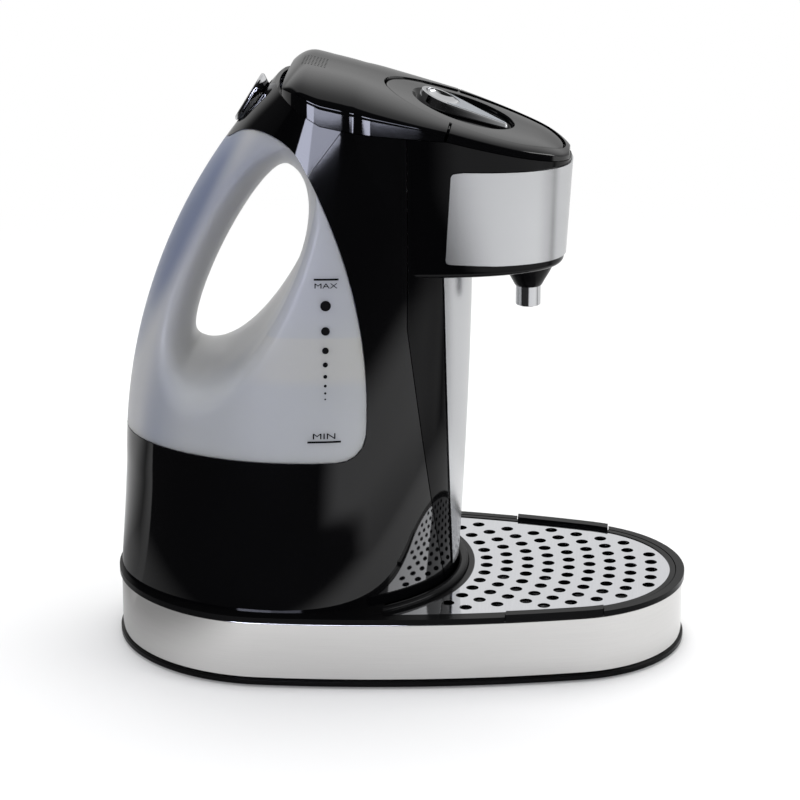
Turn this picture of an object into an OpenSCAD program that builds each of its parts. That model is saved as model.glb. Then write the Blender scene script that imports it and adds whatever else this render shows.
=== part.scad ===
// Hot water dispenser: an oval base with a drip tray, a leaning tower with a
// translucent water tank and grip hole behind, and a spout head in front.
// Millimetres. +X is the front (spout side), +Z is up, the origin is under the base.

/* [Base] */
// Length of the base over its black rims
base_l = 303; // [280:1:340]
// Radius of the round rear end of the base
base_rear_r = 86; // [80:0.5:92]
// Radius of the round front end of the base
base_front_r = 68.5; // [62:0.5:74]
// Radius of the slightly bowed long sides
base_side_r = 604; // [500:1:900]
// Height of the rubber feet
foot_h = 1.2; // [0.8:0.1:2]
// Height of the black lower rim
low_rim_h = 3.3; // [2.5:0.1:5]
// Height of the polished steel band
band_h = 31.2; // [26:0.2:40]
// Height of the black upper rim
top_rim_h = 3.1; // [2.5:0.1:5]
// How far the steel band sits in from the rims
band_in = 1.2; // [0.8:0.1:1.6]
// Thickness of the steel band
band_t = 0.8; // [0.6:0.1:1]

/* [Tower] */
// Half width of the tower at the deck
tower_w = 78.5; // [70:0.5:80]
// Half width lost for each millimetre of height
tower_taper = 0.1163; // [0.08:0.0001:0.13]
// Middle of the tower's foot, front to back
tower_x = -59.5; // [-64:0.5:-56]
// Forward shift of the middle for each millimetre of height
tower_shift = 0.078; // [0.05:0.001:0.09]
// Rear face where it stands upright
rear_x = -146.4; // [-147:0.1:-140]
// Height where the rear face stands upright
rear_z = 98; // [90:1:110]
// Radius of the leaning rear face
lean_r = 300; // [280:1:340]
// How far the rear face flares out at the deck
rear_flare = 4; // [2:0.5:5]
// Front of the column at its top
column_x = 36; // [33:0.5:40]
// How far the column front draws back at the deck
column_lean = 6.4; // [4:0.1:8]
// Height where the column meets the head
neck_z = 200; // [180:1:204]
// Wall of the moulded casings
wall = 2.4; // [2:0.1:3]

/* [Head] */
// Middle of the head, front to back
head_x = -9.5; // [-12:0.5:-6]
// Reach of the head's nose
nose_x = 87.8; // [80:0.1:92]
// Draw of the nose for each millimetre down from the top of the steel panel
nose_lean = 0.06; // [0:0.01:0.1]
// Half width of the head at its underside
head_w = 43; // [40:0.5:46]
// Half width gained for each millimetre of height
head_taper = 0.096; // [0.06:0.001:0.12]
// Height of the head's underside
head_z = 209; // [206:0.5:215]
// Lower edge of the steel panel at the nose
panel_z = 214.2; // [213:0.1:220]
// Height of the steel panel
panel_h = 49; // [40:0.5:50]
// Rear edge of the steel panel
panel_x = 25.8; // [20:0.1:35]
// Thickness of the steel sheet on the head and column
sheet_t = 0.8; // [0.6:0.1:1]

/* [Top] */
// Height of the sloping top over the origin
top_z = 300.2; // [298:0.1:304]
// Fall of the top for each millimetre forward
top_fall = 0.327; // [0.3:0.001:0.34]
// Split between the lid and the front cover
split_x = 27; // [24:0.5:29]
// Width of that split
split_w = 2.8; // [2.4:0.1:3.4]
// Middle of the oval dial panel
oval_x = 38; // [36:0.5:40]
// Half length of the oval dial panel
oval_a = 46; // [42:0.5:46]
// Half width of the oval dial panel
oval_b = 36; // [33:0.5:36]
// Gap round the oval dial panel
oval_gap = 0.8; // [0.5:0.1:1]
// Axis of the dial knob on the slope
knob_x = 32; // [30:0.5:34]
// Radius of the round dish that the knob turns in
dish_r = 25.5; // [24:0.5:27]

/* [Tank] */
// Height of the tank's lower edge
tank_z = 117.5; // [112:0.5:122]
// Radius of the tank's front edge
tank_edge_r = 258; // [240:1:280]
// Most forward point of the tank's front edge
tank_edge_x = -13.4; // [-18:0.1:-8]
// Height of that point
tank_edge_z = 143; // [135:1:150]
// Radius of the tank's lower front corner
tank_corner_r = 14; // [10:0.5:18]
// Radius over the top of the grip
grip_top_r = 24; // [20:0.5:30]
// Turn along the front edge, in degrees, to the grip's top
grip_top_turn = 29.8; // [28:0.1:31]
// Length of the grip hole in the middle of the tank
hole_l = 113; // [100:1:116]
// Half width of the grip hole towards the rear
hole_back = 12; // [10:0.5:15]
// Half width of the grip hole towards the front
hole_front = 27.3; // [20:0.1:28]
// Wall of the tank inside the casing
tank_wall = 2.2; // [1.8:0.1:3]

/* [Spout] */
// Spout axis
spout_x = 66.3; // [62:0.5:70]
// Outer diameter of the spout tube
spout_d = 13; // [10:0.2:14]
// Length of spout tube below the cone
spout_l = 10.5; // [6:0.5:14]
// Height of the black cone
cone_h = 13.5; // [10:0.5:18]
// Cone radius at the head
cone_r = 14.2; // [11:0.1:15]

/* [Drip tray] */
// Middle of the arcs that the tray follows
ring_x = -54; // [-58:0.5:-50]
// Radius of the raised ring round the column's foot
ring_r = 90; // [86:0.5:92]
// Depth of the tray
tray_h = 18; // [12:0.5:22]
// Wall of the tray
tray_wall = 1.6; // [1.2:0.1:2]
// Diameter of the drain holes
drain_d = 6.6; // [5:0.1:7.4]
// Pitch of the drain holes across the grille
drain_pitch = 11.2; // [10:0.1:12]
// Step between the arcs of drain holes
drain_step = 11; // [10:0.1:12]
// First arc of drain holes, ahead of the raised ring
drain_in = 9.9; // [8:0.1:12]

/* [Fits] */
// Gap where one moulding meets another
seam_gap = 0.4; // [0.2:0.1:0.6]
// Gap round a part that lifts or slides
slide_gap = 0.4; // [0.3:0.1:0.6]
// Radial play of a pin or shaft in its bore
pin_play = 0.05; // [0.02:0.01:0.1]

/* [Hidden] */

$fn = 64;
z_plate = foot_h;
z_band = foot_h + low_rim_h;
z_rim = z_band + band_h;
z_deck = z_rim + top_rim_h;
skirt_in = band_in + band_t + 0.2;
skirt_t = 2.2;
well_z = z_deck - tray_h - 1.6;
ring_n = 40;
nose_power = 2.3;
arch_power = 3.2;
slope = atan(top_fall);
far = 260;

// Outline of the base, an oval of four arcs, drawn in from its edge
function arc(c, r, a0, a1, n) = [for (i = [0:n]) let (a = a0 + (a1 - a0) * i / n)
    [c[0] + r * cos(a), c[1] + r * sin(a)]];
oval_x1 = -base_l / 2 + base_rear_r;
oval_x2 = base_l / 2 - base_front_r;
oval_c = oval_x2 - oval_x1;
oval_p = base_side_r - base_rear_r;
oval_q = base_side_r - base_front_r;
oval_sx = oval_x1 + (oval_c ^ 2 + oval_p ^ 2 - oval_q ^ 2) / (2 * oval_c);
oval_sy = sqrt(oval_p ^ 2 - (oval_sx - oval_x1) ^ 2);
turn_1 = atan2(oval_sy, oval_x1 - oval_sx);
turn_2 = atan2(oval_sy, oval_x2 - oval_sx);
function base_outline(in) = concat(
    arc([oval_sx, -oval_sy], base_side_r - in, turn_1, turn_2, 9),
    arc([oval_x2, 0], base_front_r - in, turn_2 - 4, 4 - turn_2, 22),
    arc([oval_sx, oval_sy], base_side_r - in, -turn_2, -turn_1, 9),
    arc([oval_x1, 0], base_rear_r - in, -turn_1 - 4, turn_1 - 356, 26));
module base_slab(in, z0, z1) translate([0, 0, z0]) linear_extrude(z1 - z0) polygon(base_outline(in));

// Tower sections
function tower_mid(z) = tower_x + tower_shift * (z - z_deck);
function tower_hw(z) = tower_w - tower_taper * (z - z_deck);
function tower_rear(z) = z > rear_z
    ? rear_x + lean_r - sqrt(lean_r ^ 2 - (z - rear_z) ^ 2)
    : rear_x - rear_flare * ((rear_z - z) / (rear_z - z_deck)) ^ 1.2;
function tower_front(z) = column_x - column_lean * (max(0, neck_z - z) / (neck_z - z_deck)) ^ 1.5;
function tower_ring(z, in) = [for (i = [0:ring_n - 1])
    let (a = 360 * i / ring_n, m = tower_mid(z),
        r = cos(a) < 0 ? m - tower_rear(z) - in : tower_front(z) - m - in)
    [m + r * cos(a), (tower_hw(z) - in) * sin(a), z]];

// Head sections, with a blunter nose than an ellipse
function head_hw(z) = head_w + head_taper * (z - head_z);
function blunt(v) = sign(v) * abs(v) ^ (2 / nose_power);
head_back = 30;
function nose_at(z) = nose_x - nose_lean * (panel_z + panel_h - z);
function head_ring(z, in) = [for (i = [0:ring_n - 1])
    let (a = 360 * i / ring_n, r = cos(a) < 0 ? head_back : nose_at(z) - head_x)
    [head_x + (r - in) * blunt(cos(a)), (head_hw(z) - in) * blunt(sin(a)), z]];

// A solid skin over rings of points that run anticlockwise seen from the last ring
module skin(rings) {
    n = len(rings[0]);
    m = len(rings);
    sides = [for (j = [0:m - 2]) for (i = [0:n - 1])
        let (a = j * n + i, b = j * n + (i + 1) % n) each [[a, a + n, b], [b, a + n, b + n]]];
    caps = [[for (i = [0:n - 1]) i], [for (i = [n - 1:-1:0]) (m - 1) * n + i]];
    polyhedron([for (r = rings) each r], concat(sides, caps));
}
module tower(in, z0, z1, steps = 15)
    skin([for (j = [0:steps]) tower_ring(z0 + (z1 - z0) * j / steps, in)]);
module head(in, z0, z1, steps = 3)
    skin([for (j = [0:steps]) head_ring(z0 + (z1 - z0) * j / steps, in)]);
tower_top = 304;
head_top = 292;
module body(in, z0, z1) {
    tower(in, z0, tower_top);
    head(in, z1, head_top);
}

// Cuts through the whole width, drawn in the side view
module side_cut(points, w = far) rotate([90, 0, 0]) linear_extrude(w, center = true) polygon(points);

// Seam below the lid and the front cover, from the nose to the rear
seam = [[130, 253.5], [split_x - 0.5, 282.7], [-22.5, 286.7], [-37.5, 290], [-63, 305], [-110, 332.6]];
function seam_z(x) = lookup(x, [for (p = seam) p]);
module under_seam(gap) side_cut(concat([for (p = seam) [p[0], p[1] - gap]], [[-far, 400], [-far, 0], [130, 0]]));

// Parting between the rear and the front casing
part_x = 6.3;
part_z = 184;
part_fall = 0.128;
module front_zone(gap) side_cut([[part_x + gap, 400], [part_x + gap, part_z],
    [part_x + gap + part_fall * part_z, 0], [far, 0], [far, 400]]);
module rear_zone() side_cut([[part_x, 400], [part_x, part_z],
    [part_x + part_fall * part_z, 0], [-far, 0], [-far, 400]]);

// Window that the tank fills, from its lower front corner up and over the grip
edge_c = [tank_edge_x - tank_edge_r, tank_edge_z];
corner_dz = tank_z + tank_corner_r - tank_edge_z;
corner_c = edge_c + [sqrt((tank_edge_r - tank_corner_r) ^ 2 - corner_dz ^ 2), corner_dz];
corner_turn = asin(corner_dz / (tank_edge_r - tank_corner_r));
top_c = edge_c + (tank_edge_r - grip_top_r) * [cos(grip_top_turn), sin(grip_top_turn)];
top_end = 130;
top_last = top_c + grip_top_r * [cos(top_end), sin(top_end)];
function tank_edge(in) = concat(
    arc(corner_c, tank_corner_r - in, -90, corner_turn - 6, 6),
    arc(edge_c, tank_edge_r - in, corner_turn, grip_top_turn - 1, 12),
    arc(top_c, grip_top_r - in, grip_top_turn + 4, top_end, 14));
module tank_zone(in) side_cut(concat([[-far, tank_z + in]], tank_edge(in),
    [[-far, top_last[1] - in - (top_last[0] + far) / tan(180 - top_end)]]));

// Collar over the grip, bounded in front by a slanting joint
collar_turn = 28;
collar_foot = edge_c + tank_edge_r * [cos(collar_turn), sin(collar_turn)];
collar_top = [collar_foot[0] + 20.6, 292];
module collar_zone(gap) side_cut(concat([[collar_foot[0] - gap, collar_foot[1] - 20], [collar_foot[0] - gap, collar_foot[1]],
    [collar_top[0] - gap, collar_top[1]], [collar_top[0] - gap, 400], [-far, 400], [-far, collar_foot[1] - 20]]));

// Grip hole, a tunnel along Y that widens towards both sides, most at the grip
hole_foot = [-108.6, 157.8];
hole_turn = 63.4;
hole_u = [cos(hole_turn), sin(hole_turn)];
hole_v = [sin(hole_turn), -cos(hole_turn)];
hole_n = 32;
flare_top = 0.0078;
flare_foot = 0.0063;
flare_back = 0.0109;
flare_front = 0.0005;
function hole_ring(y, in) = [for (i = [0:hole_n - 1])
    let (a = 360 * i / hole_n,
        s = hole_l / 2 + (hole_l / 2 + in + (cos(a) > 0 ? flare_top : flare_foot) * y ^ 2) * cos(a),
        d = ((sin(a) > 0 ? hole_front + flare_front * y ^ 2 : hole_back + flare_back * y ^ 2) + in) * sin(a),
        p = hole_foot + s * hole_u + d * hole_v)
    [p[0], y, p[1]]];
module grip_hole(in) skin([for (y = [-80, -62, -50, -40, -30, -20, -10, 0, 10, 20, 30, 40, 50, 62, 80]) hole_ring(y, in)]);

// Sloping top, an arch over the seam at every station along X
function top_line(x) = top_z - top_fall * x - 0.0575 * (sqrt((x + 24) ^ 2 + 64) - x - 24)
    - 0.05 * max(0, -46 - x) ^ 2 - 0.01 * max(0, x - 70) ^ 2;
function ell(u, p) = abs(u) < 1 ? (1 - abs(u) ^ p) ^ (1 / p) : 0;
function side_hw(x, z) = let (m = tower_mid(z))
    max(tower_hw(z) * ell(x > m ? (x - m) / (tower_front(z) - m) : (m - x) / (m - tower_rear(z)), 2),
        head_hw(z) * ell(x > head_x ? (x - head_x) / (nose_at(z) - head_x) : (head_x - x) / head_back, nose_power));
arch_n = 20;
function arch(x, in, drop, foot) =
    let (zs = seam_z(x), hw = max(0.4, side_hw(x, zs) - in), h = max(0.3, top_line(x) - zs - drop))
    [for (i = [0:arch_n]) let (a = 180 * i / arch_n)
        [x, hw * sign(cos(a)) * abs(cos(a)) ^ (2 / arch_power), zs - foot + (h + foot) * sin(a) ^ (2 / arch_power)]];
function stations(x0, x1, n) = [for (i = [0:n]) let (t = i / n) x0 + (x1 - x0) * (1 - cos(180 * t)) / 2];
lid_rear = -57.8;
module dome(in, drop, foot, x0 = lid_rear, x1 = 86.8, n = 22)
    skin([for (x = stations(x0, x1, n)) arch(x, in, drop, foot)]);
module oval_prism(in) translate([oval_x, 0, 240]) linear_extrude(90)
    polygon([for (i = [0:47]) let (a = 7.5 * i) [(oval_a - in) * cos(a), (oval_b - in) * sin(a)]]);
module x_over(x) translate([x, -far / 2, 0]) cube([far, far, 400]);

// Hinge of the lid, just under the top surface beside the oval panel
hinge_z = 287.6;
hinge_r = 0.9;
eye_r = 1.9;
eye_y = [38, 40.6];
knuckle_y = [41, 44];
module y_rod(r, y0, y1) translate([split_x, y1, hinge_z]) rotate([90, 0, 0]) cylinder(r = r, h = y1 - y0);
module split_cut(side, gap) translate([split_x, 0, hinge_z]) rotate([0, slope, 0])
    translate([side > 0 ? gap : -far - gap, -far / 2, -far / 2]) cube([far, far, far]);
module both_sides() {
    children();
    mirror([0, 1, 0]) children();
}

// Frames on the sloping top and on the rear slope
knob_z = top_z - top_fall * knob_x;
module at_knob() translate([knob_x, 0, knob_z]) rotate([0, slope, 0]) children();
button_z = 291;
button_lean = acos((button_z - rear_z) / lean_r);
module at_button() translate([tower_rear(button_z), 0, button_z]) rotate([0, -button_lean, 0]) children();
button_l = 28;
button_w = 15;
button_travel = 2.4;
module pill(l, w, z0, z1) translate([0, 0, z0]) linear_extrude(z1 - z0) union() {
    square([l - w, w], center = true);
    for (s = [-1, 1]) translate([s * (l - w) / 2, 0]) circle(d = w);
}

// Pump below the tank's outlet, in line with the boiler's inlet
outlet_x = -36;
in_port = [0, -0.4 * tower_w];
out_port = [22, 16];
pump_z = 60;
pump_r = 15;
pump_l = 46;
pump_at = [outlet_x + pump_l / 2 - 8, in_port[1]];
cradle_x = [pump_at[0] - pump_l / 2 + 4, pump_at[0] + pump_l / 2 - 4];
cradle_w = 24;

// Base pieces
screw_at = [[-118, 42], [-118, -42], [108, 34], [108, -34]];
foot_at = [[-104, 64], [-104, -64], [92, 54], [92, -54]];
screw_head_r = 3.4;
screw_r = 1.6;
boss_r = 5;
module bottom_plate() color("#141415") difference() {
    base_slab(0, z_plate, z_band);
    for (p = screw_at) translate([p[0], p[1], 0]) {
        cylinder(r = screw_head_r + 0.3, h = z_plate + 2);
        cylinder(r = screw_r + 0.3, h = z_band + 1);
    }
}
module feet() color("#1d1d1e") for (p = foot_at) translate([p[0], p[1], 0]) cylinder(r = 8, h = foot_h);
module bottom_screws() color("silver") for (p = screw_at) translate([p[0], p[1], z_plate + 0.2]) {
    cylinder(r = screw_head_r, h = 1.8);
    cylinder(r = screw_r, h = 14);
}
gland_z = z_band + 12;
gland_r = 5.5;
module base_band() color("#c9c9cb") difference() {
    base_slab(band_in, z_band, z_rim);
    base_slab(band_in + band_t, z_band - 1, z_rim + 1);
    translate([-base_l / 2 - 1, 0, gland_z]) rotate([0, 90, 0]) cylinder(r = gland_r + 0.3, h = 12);
}
ring_w = 5;
ring_h = 2.6;
belly_r = tower_w - wall - 3;
module ring_sector(r0, r1, z0, z1) translate([ring_x, 0, z0]) difference() {
    cylinder(r = r1, h = z1 - z0);
    translate([0, 0, -1]) cylinder(r = r0, h = z1 - z0 + 2);
}
tab_x0 = 59.5;
tab_x1 = 109.5;
tab_h = 1.3;
module tab_room(in, z0, z1) difference() {
    base_slab(in, z0, z1);
    base_slab(skirt_in + skirt_t + 2.4, z0 - 1, z1 + 1);
    translate([tab_x0 - far, -far / 2, z0 - 1]) cube([far, far, z1 - z0 + 2]);
    translate([tab_x1, -far / 2, z0 - 1]) cube([far, far, z1 - z0 + 2]);
}
module tray_room(in, z0, z1) difference() {
    base_slab(skirt_in + skirt_t + in, z0, z1);
    translate([ring_x, 0, z0 - 1]) cylinder(r = ring_r + in, h = z1 - z0 + 2);
    translate([-far - 20, -far / 2, z0 - 1]) cube([far, far, z1 - z0 + 2]);
}
module base_deck() color("#0c0c0d") difference() {
    union() {
        difference() {
            base_slab(0, z_rim, z_deck);
            translate([tower_x, 0, z_rim - 1]) cylinder(r = belly_r, h = top_rim_h + 2);
            translate([cradle_x[0] - 0.5, pump_at[1] - cradle_w / 2 - 0.5, z_rim - 1])
                cube([cradle_x[1] - cradle_x[0] + 1, cradle_w + 1, top_rim_h + 2]);
        }
        difference() {
            base_slab(skirt_in, z_band, z_rim);
            base_slab(skirt_in + skirt_t, z_band - 1, z_rim + 1);
        }
        intersection() {
            base_slab(skirt_in + 0.5, well_z, z_rim + 1);
            ring_sector(ring_r - tray_wall, 400, well_z, z_rim + 1);
            x_over(-22);
        }
        intersection() {
            base_slab(skirt_in + skirt_t, z_rim, z_deck + ring_h);
            ring_sector(ring_r - ring_w, ring_r, z_rim, z_deck + ring_h);
            x_over(-4);
        }
        for (p = screw_at) translate([p[0], p[1], z_band]) cylinder(r = boss_r, h = z_rim - z_band + 1);
    }
    tray_room(0, well_z + 1.6, z_deck + ring_h + 1);
    difference() {
        base_slab(-1, z_rim, z_deck + 1);
        base_slab(skirt_in + skirt_t + 2.4, z_rim - 1, z_deck + 2);
        translate([tab_x0 - slide_gap - far, -far / 2, z_rim - 1]) cube([far, far, top_rim_h + 3]);
        translate([tab_x1 + slide_gap, -far / 2, z_rim - 1]) cube([far, far, top_rim_h + 3]);
    }
    for (p = screw_at) translate([p[0], p[1], z_band - 1]) cylinder(r = screw_r + 0.1, h = 14);
    translate([-base_l / 2 - 1, 0, gland_z]) rotate([0, 90, 0]) cylinder(r = gland_r + 0.1, h = 14);
}
module cord_gland() color("#1a1a1b") translate([-base_l / 2 + band_in + 0.2, 0, gland_z]) rotate([0, 90, 0]) difference() {
    cylinder(r = gland_r, h = 12);
    translate([0, 0, -1]) cylinder(r = 3.4, h = 14);
}

// Drip tray and its grille
tray_floor = well_z + 1.6 + 0.3;
grille_t = 1.2;
grille_top = z_deck - 0.6;
grille_in = 3.4;
module drip_tray() color("#0f0f10") difference() {
    union() {
        tray_room(slide_gap, tray_floor, z_deck - 0.2);
        tab_room(0, z_rim + 0.3, z_deck + tab_h);
    }
    tray_room(slide_gap + tray_wall + 1.4, tray_floor + tray_wall, grille_top - grille_t - 0.3);
    tray_room(grille_in - 0.4, grille_top - grille_t - 0.3, z_deck + 2);
}
drain_rows = [11, 12, 11, 10, 11, 10, 9, 8, 5];
drain_r = ring_r + drain_in;
drain_edge = skirt_in + skirt_t + grille_in + drain_d / 2 + 0.6;
function base_hw(x, in) = x > oval_x2 ? sqrt(max(0, (base_front_r - in) ^ 2 - (x - oval_x2) ^ 2))
    : sqrt((base_side_r - in) ^ 2 - (x - oval_sx) ^ 2) - oval_sy;
module drip_grille() color("#cfcfd2") difference() {
    tray_room(grille_in, grille_top - grille_t, grille_top);
    for (k = [0:len(drain_rows) - 1]) for (j = [0:drain_rows[k] - 1]) {
        y = (j - (drain_rows[k] - 1) / 2) * drain_pitch;
        r = drain_r + k * drain_step;
        x = ring_x + sqrt(r ^ 2 - y ^ 2);
        if (abs(y) < base_hw(x, drain_edge))
            translate([x, y, grille_top - grille_t - 1]) cylinder(d = drain_d, h = grille_t + 2);
    }
}

// Casings
module casing_shell() difference() {
    body(0, z_deck, head_z);
    body(wall, z_deck - 1, head_z + wall);
}
module rear_casing() color("#0b0b0c") difference() {
    intersection() {
        casing_shell();
        rear_zone();
        under_seam(seam_gap);
    }
    tank_zone(-seam_gap);
    difference() {
        collar_zone(-seam_gap);
        tank_zone(2);
    }
}
module front_casing() color("#0b0b0c") difference() {
    intersection() {
        casing_shell();
        front_zone(seam_gap);
        under_seam(seam_gap);
    }
    translate([spout_x, 0, head_z - 1]) cylinder(r = spout_d / 2 + 0.4, h = 10);
}
splash_w = 31;
splash_turn_z = 190;
splash_turn_r = 170;
function splash_hw(z) = splash_w * sqrt(1 - (max(0, splash_turn_z - z) / splash_turn_r) ^ 2);
module splash_outline() {
    zs = [for (i = [0:14]) z_deck + 6 + (splash_turn_z - z_deck - 6) * i / 14];
    polygon(concat([for (z = zs) [splash_hw(z), z]], [[splash_w, head_z - 0.4], [-splash_w, head_z - 0.4]],
        [for (i = [14:-1:0]) [-splash_hw(zs[i]), zs[i]]]));
}
module splash_panel() color("#c4c6c9") intersection() {
    difference() {
        tower(-sheet_t - 0.1, z_deck, head_z);
        tower(-0.1, z_deck - 1, head_z + 1);
    }
    translate([10, 0, 0]) rotate([90, 0, 90]) linear_extrude(60) splash_outline();
}
panel_corner_r = 2.4;
module head_panel() color("#bdbdc0") intersection() {
    difference() {
        head(-sheet_t - 0.1, head_z + 1, 280);
        head(-0.1, head_z, 281);
    }
    rotate([90, 0, 0]) linear_extrude(far, center = true) polygon(concat(
        [[nose_x + 40, panel_z + panel_h - 2], [panel_x + 9, panel_z + panel_h + 3]],
        arc([panel_x + 2.6 + panel_corner_r, panel_z + panel_h + 2.6 - panel_corner_r], panel_corner_r, 90, 180, 6),
        arc([panel_x + panel_corner_r, panel_z + 3 + panel_corner_r], panel_corner_r, 180, 266, 6),
        [[panel_x + 26, panel_z + 1], [nose_x + 40, panel_z - 1.6]]));
}

// Spout
module spout_cone() color("#121213") difference() {
    translate([spout_x, 0, head_z - cone_h]) cylinder(r1 = spout_d / 2 + 0.5, r2 = cone_r, h = cone_h);
    translate([spout_x, 0, head_z - cone_h - 1]) cylinder(d = spout_d, h = cone_h + 2);
}
tube_top = head_z + 8;
module spout_tube() color("#b8b8ba") translate([spout_x, 0, head_z - cone_h - spout_l]) difference() {
    cylinder(d = spout_d, h = tube_top - head_z + cone_h + spout_l);
    translate([0, 0, -1]) cylinder(d = spout_d - 2, h = tube_top - head_z + cone_h + spout_l + 2);
}
module spout_seal() color("#303032") translate([spout_x, 0, head_z + wall]) difference() {
    cylinder(d = spout_d + 5, h = 2.4);
    translate([0, 0, -1]) cylinder(d = spout_d, h = 5);
}

// Tank with its grip, open at the top under the lid
chamber_in = wall + 0.6;
chamber_x = 2;
mouth_z = 266;
mouth_x = -34.9;
mouth_side = 11.67;
mouth_w = tower_hw(mouth_z) - wall - mouth_side;
plug_w = mouth_w - 4;
module chamber_zone(in) side_cut([[-55, tank_z + in], [chamber_x - in, tank_z + in], [chamber_x - in, mouth_z],
    [mouth_x, mouth_z], [mouth_x - 6, mouth_z - 19], [-55, 200]]);
outlet_r = 6;
module tank() color("#aeb4bd") difference() {
    union() {
        intersection() {
            tower(0, tank_z - 2, 290, 12);
            tank_zone(0);
        }
        intersection() {
            tower(chamber_in, tank_z - 2, 290, 12);
            chamber_zone(0);
        }
    }
    difference() {
        intersection() {
            tower(chamber_in + tank_wall, tank_z - 3, 291, 12);
            union() {
                tank_zone(tank_wall + 0.4);
                chamber_zone(tank_wall);
                side_cut([[mouth_x + tank_wall, mouth_z - 8], [chamber_x - tank_wall, mouth_z - 8],
                    [chamber_x - tank_wall, mouth_z + 4], [mouth_x + tank_wall, mouth_z + 4]]);
            }
        }
        grip_hole(tank_wall);
    }
    grip_hole(0);
    at_button() pill(button_l + 0.8, button_w + 0.8, -button_travel - 4, 20);
    translate([outlet_x, 0, tank_z - 1]) cylinder(r = outlet_r, h = 10);
}
outlet_h = 9;
module tank_outlet() color("#dcdcd6") translate([outlet_x, 0, tank_z - outlet_h]) difference() {
    union() {
        cylinder(r = outlet_r + 4, h = outlet_h);
        cylinder(r = outlet_r - 0.1, h = outlet_h + tank_wall + 0.4);
    }
    translate([0, 0, -1]) cylinder(r = outlet_r - 2, h = outlet_h + 10);
}
module outlet_filter() color("#8b8f94") translate([outlet_x, 0, tank_z + tank_wall + 0.4]) difference() {
    cylinder(r = outlet_r + 1, h = 9);
    translate([0, 0, -1]) cylinder(r = outlet_r - 1, h = 8.6);
    for (a = [0:60:300]) rotate([0, 0, a]) translate([outlet_r, 0, 4]) cube([6, 2, 5], center = true);
}
shelf_t = 2.2;
module tank_shelf() color("#232324") intersection() {
    tower(wall + 0.15, 100, 130, 2);
    difference() {
        translate([-far, -far / 2, tank_z - shelf_t - 0.2]) cube([far + 5, far, shelf_t]);
        translate([outlet_x, 0, 90]) cylinder(r = outlet_r + 4.4, h = 40);
    }
}
module tank_collar() color("#0b0b0c") difference() {
    intersection() {
        union() {
            difference() {
                tower(0, 225, tower_top, 8);
                tower(wall, 224, tower_top + 1, 8);
            }
            intersection() {
                tower(0.6, 225, tower_top, 8);
                at_button() translate([-21, -13, -11]) cube([42, 26, 20]);
            }
        }
        collar_zone(0);
        under_seam(seam_gap);
    }
    tank_zone(-seam_gap);
    at_button() pill(button_l + 0.8, button_w + 0.8, -7.5, 20);
}

// Lid, with a plug ring that carries the seal and swings clear of the dial panel
panel_sink = 0.8;
panel_t = 3.2;
panel_rear = oval_x - oval_a;
swing_r = norm([split_x - panel_rear, top_line(panel_rear) - panel_sink - hinge_z]);
plug_x0 = -33;
plug_x1 = split_x - swing_r - 0.6;
plug_t = 3;
plug_z = 274;
module plug_ring(z0, z1, in) translate([0, 0, z0]) linear_extrude(z1 - z0) difference() {
    translate([plug_x0 + in, -plug_w + in]) square([plug_x1 - plug_x0 - 2 * in, 2 * plug_w - 2 * in]);
    translate([plug_x0 + plug_t - in, -plug_w + plug_t - in])
        square([plug_x1 - plug_x0 - 2 * plug_t + 2 * in, 2 * plug_w - 2 * plug_t + 2 * in]);
}
vent_rows = 3;
vent_cols = 6;
module vents() for (i = [0:vent_rows - 1]) for (j = [0:vent_cols - 1])
    translate([-52.5 + 4.6 * i, (j - (vent_cols - 1) / 2) * 5 - 2 * i, 290]) cylinder(d = 1.8, h = 40);
module lid() color("#0b0b0c") difference() {
    union() {
        difference() {
            dome(0, 0, 0);
            dome(wall, wall, 1, lid_rear + wall, 84, 18);
            oval_prism(-oval_gap);
            split_cut(1, 0.2 - split_w / 2);
        }
        intersection() {
            plug_ring(plug_z, 330, 0);
            dome(1, 1, 40, lid_rear + 1, 84, 18);
        }
        both_sides() difference() {
            union() {
                y_rod(eye_r, eye_y[0], eye_y[1]);
                translate([split_x - 5, eye_y[0], hinge_z - 1]) cube([5, eye_y[1] - eye_y[0], 1.8]);
            }
        }
    }
    both_sides() y_rod(hinge_r + pin_play, 30, 60);
    both_sides() y_rod(eye_r + 0.4, knuckle_y[0] - 0.3, knuckle_y[1] + 0.3);
    vents();
}
module lid_seal() color("#6d6f72") plug_ring(plug_z - 2, plug_z, 0.6);
module mouth_frame() color("#161617") difference() {
    translate([mouth_x + 0.5, -mouth_w, mouth_z]) cube([chamber_x - mouth_x - 1, 2 * mouth_w, plug_z - 2.4 - mouth_z]);
    translate([plug_x0 + 4, -plug_w + 4, mouth_z - 1]) cube([plug_x1 - plug_x0 - 8, 2 * plug_w - 8, 20]);
}
module hinge_pins() color("silver") both_sides() y_rod(hinge_r, eye_y[0] - 0.3, knuckle_y[1]);

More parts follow.
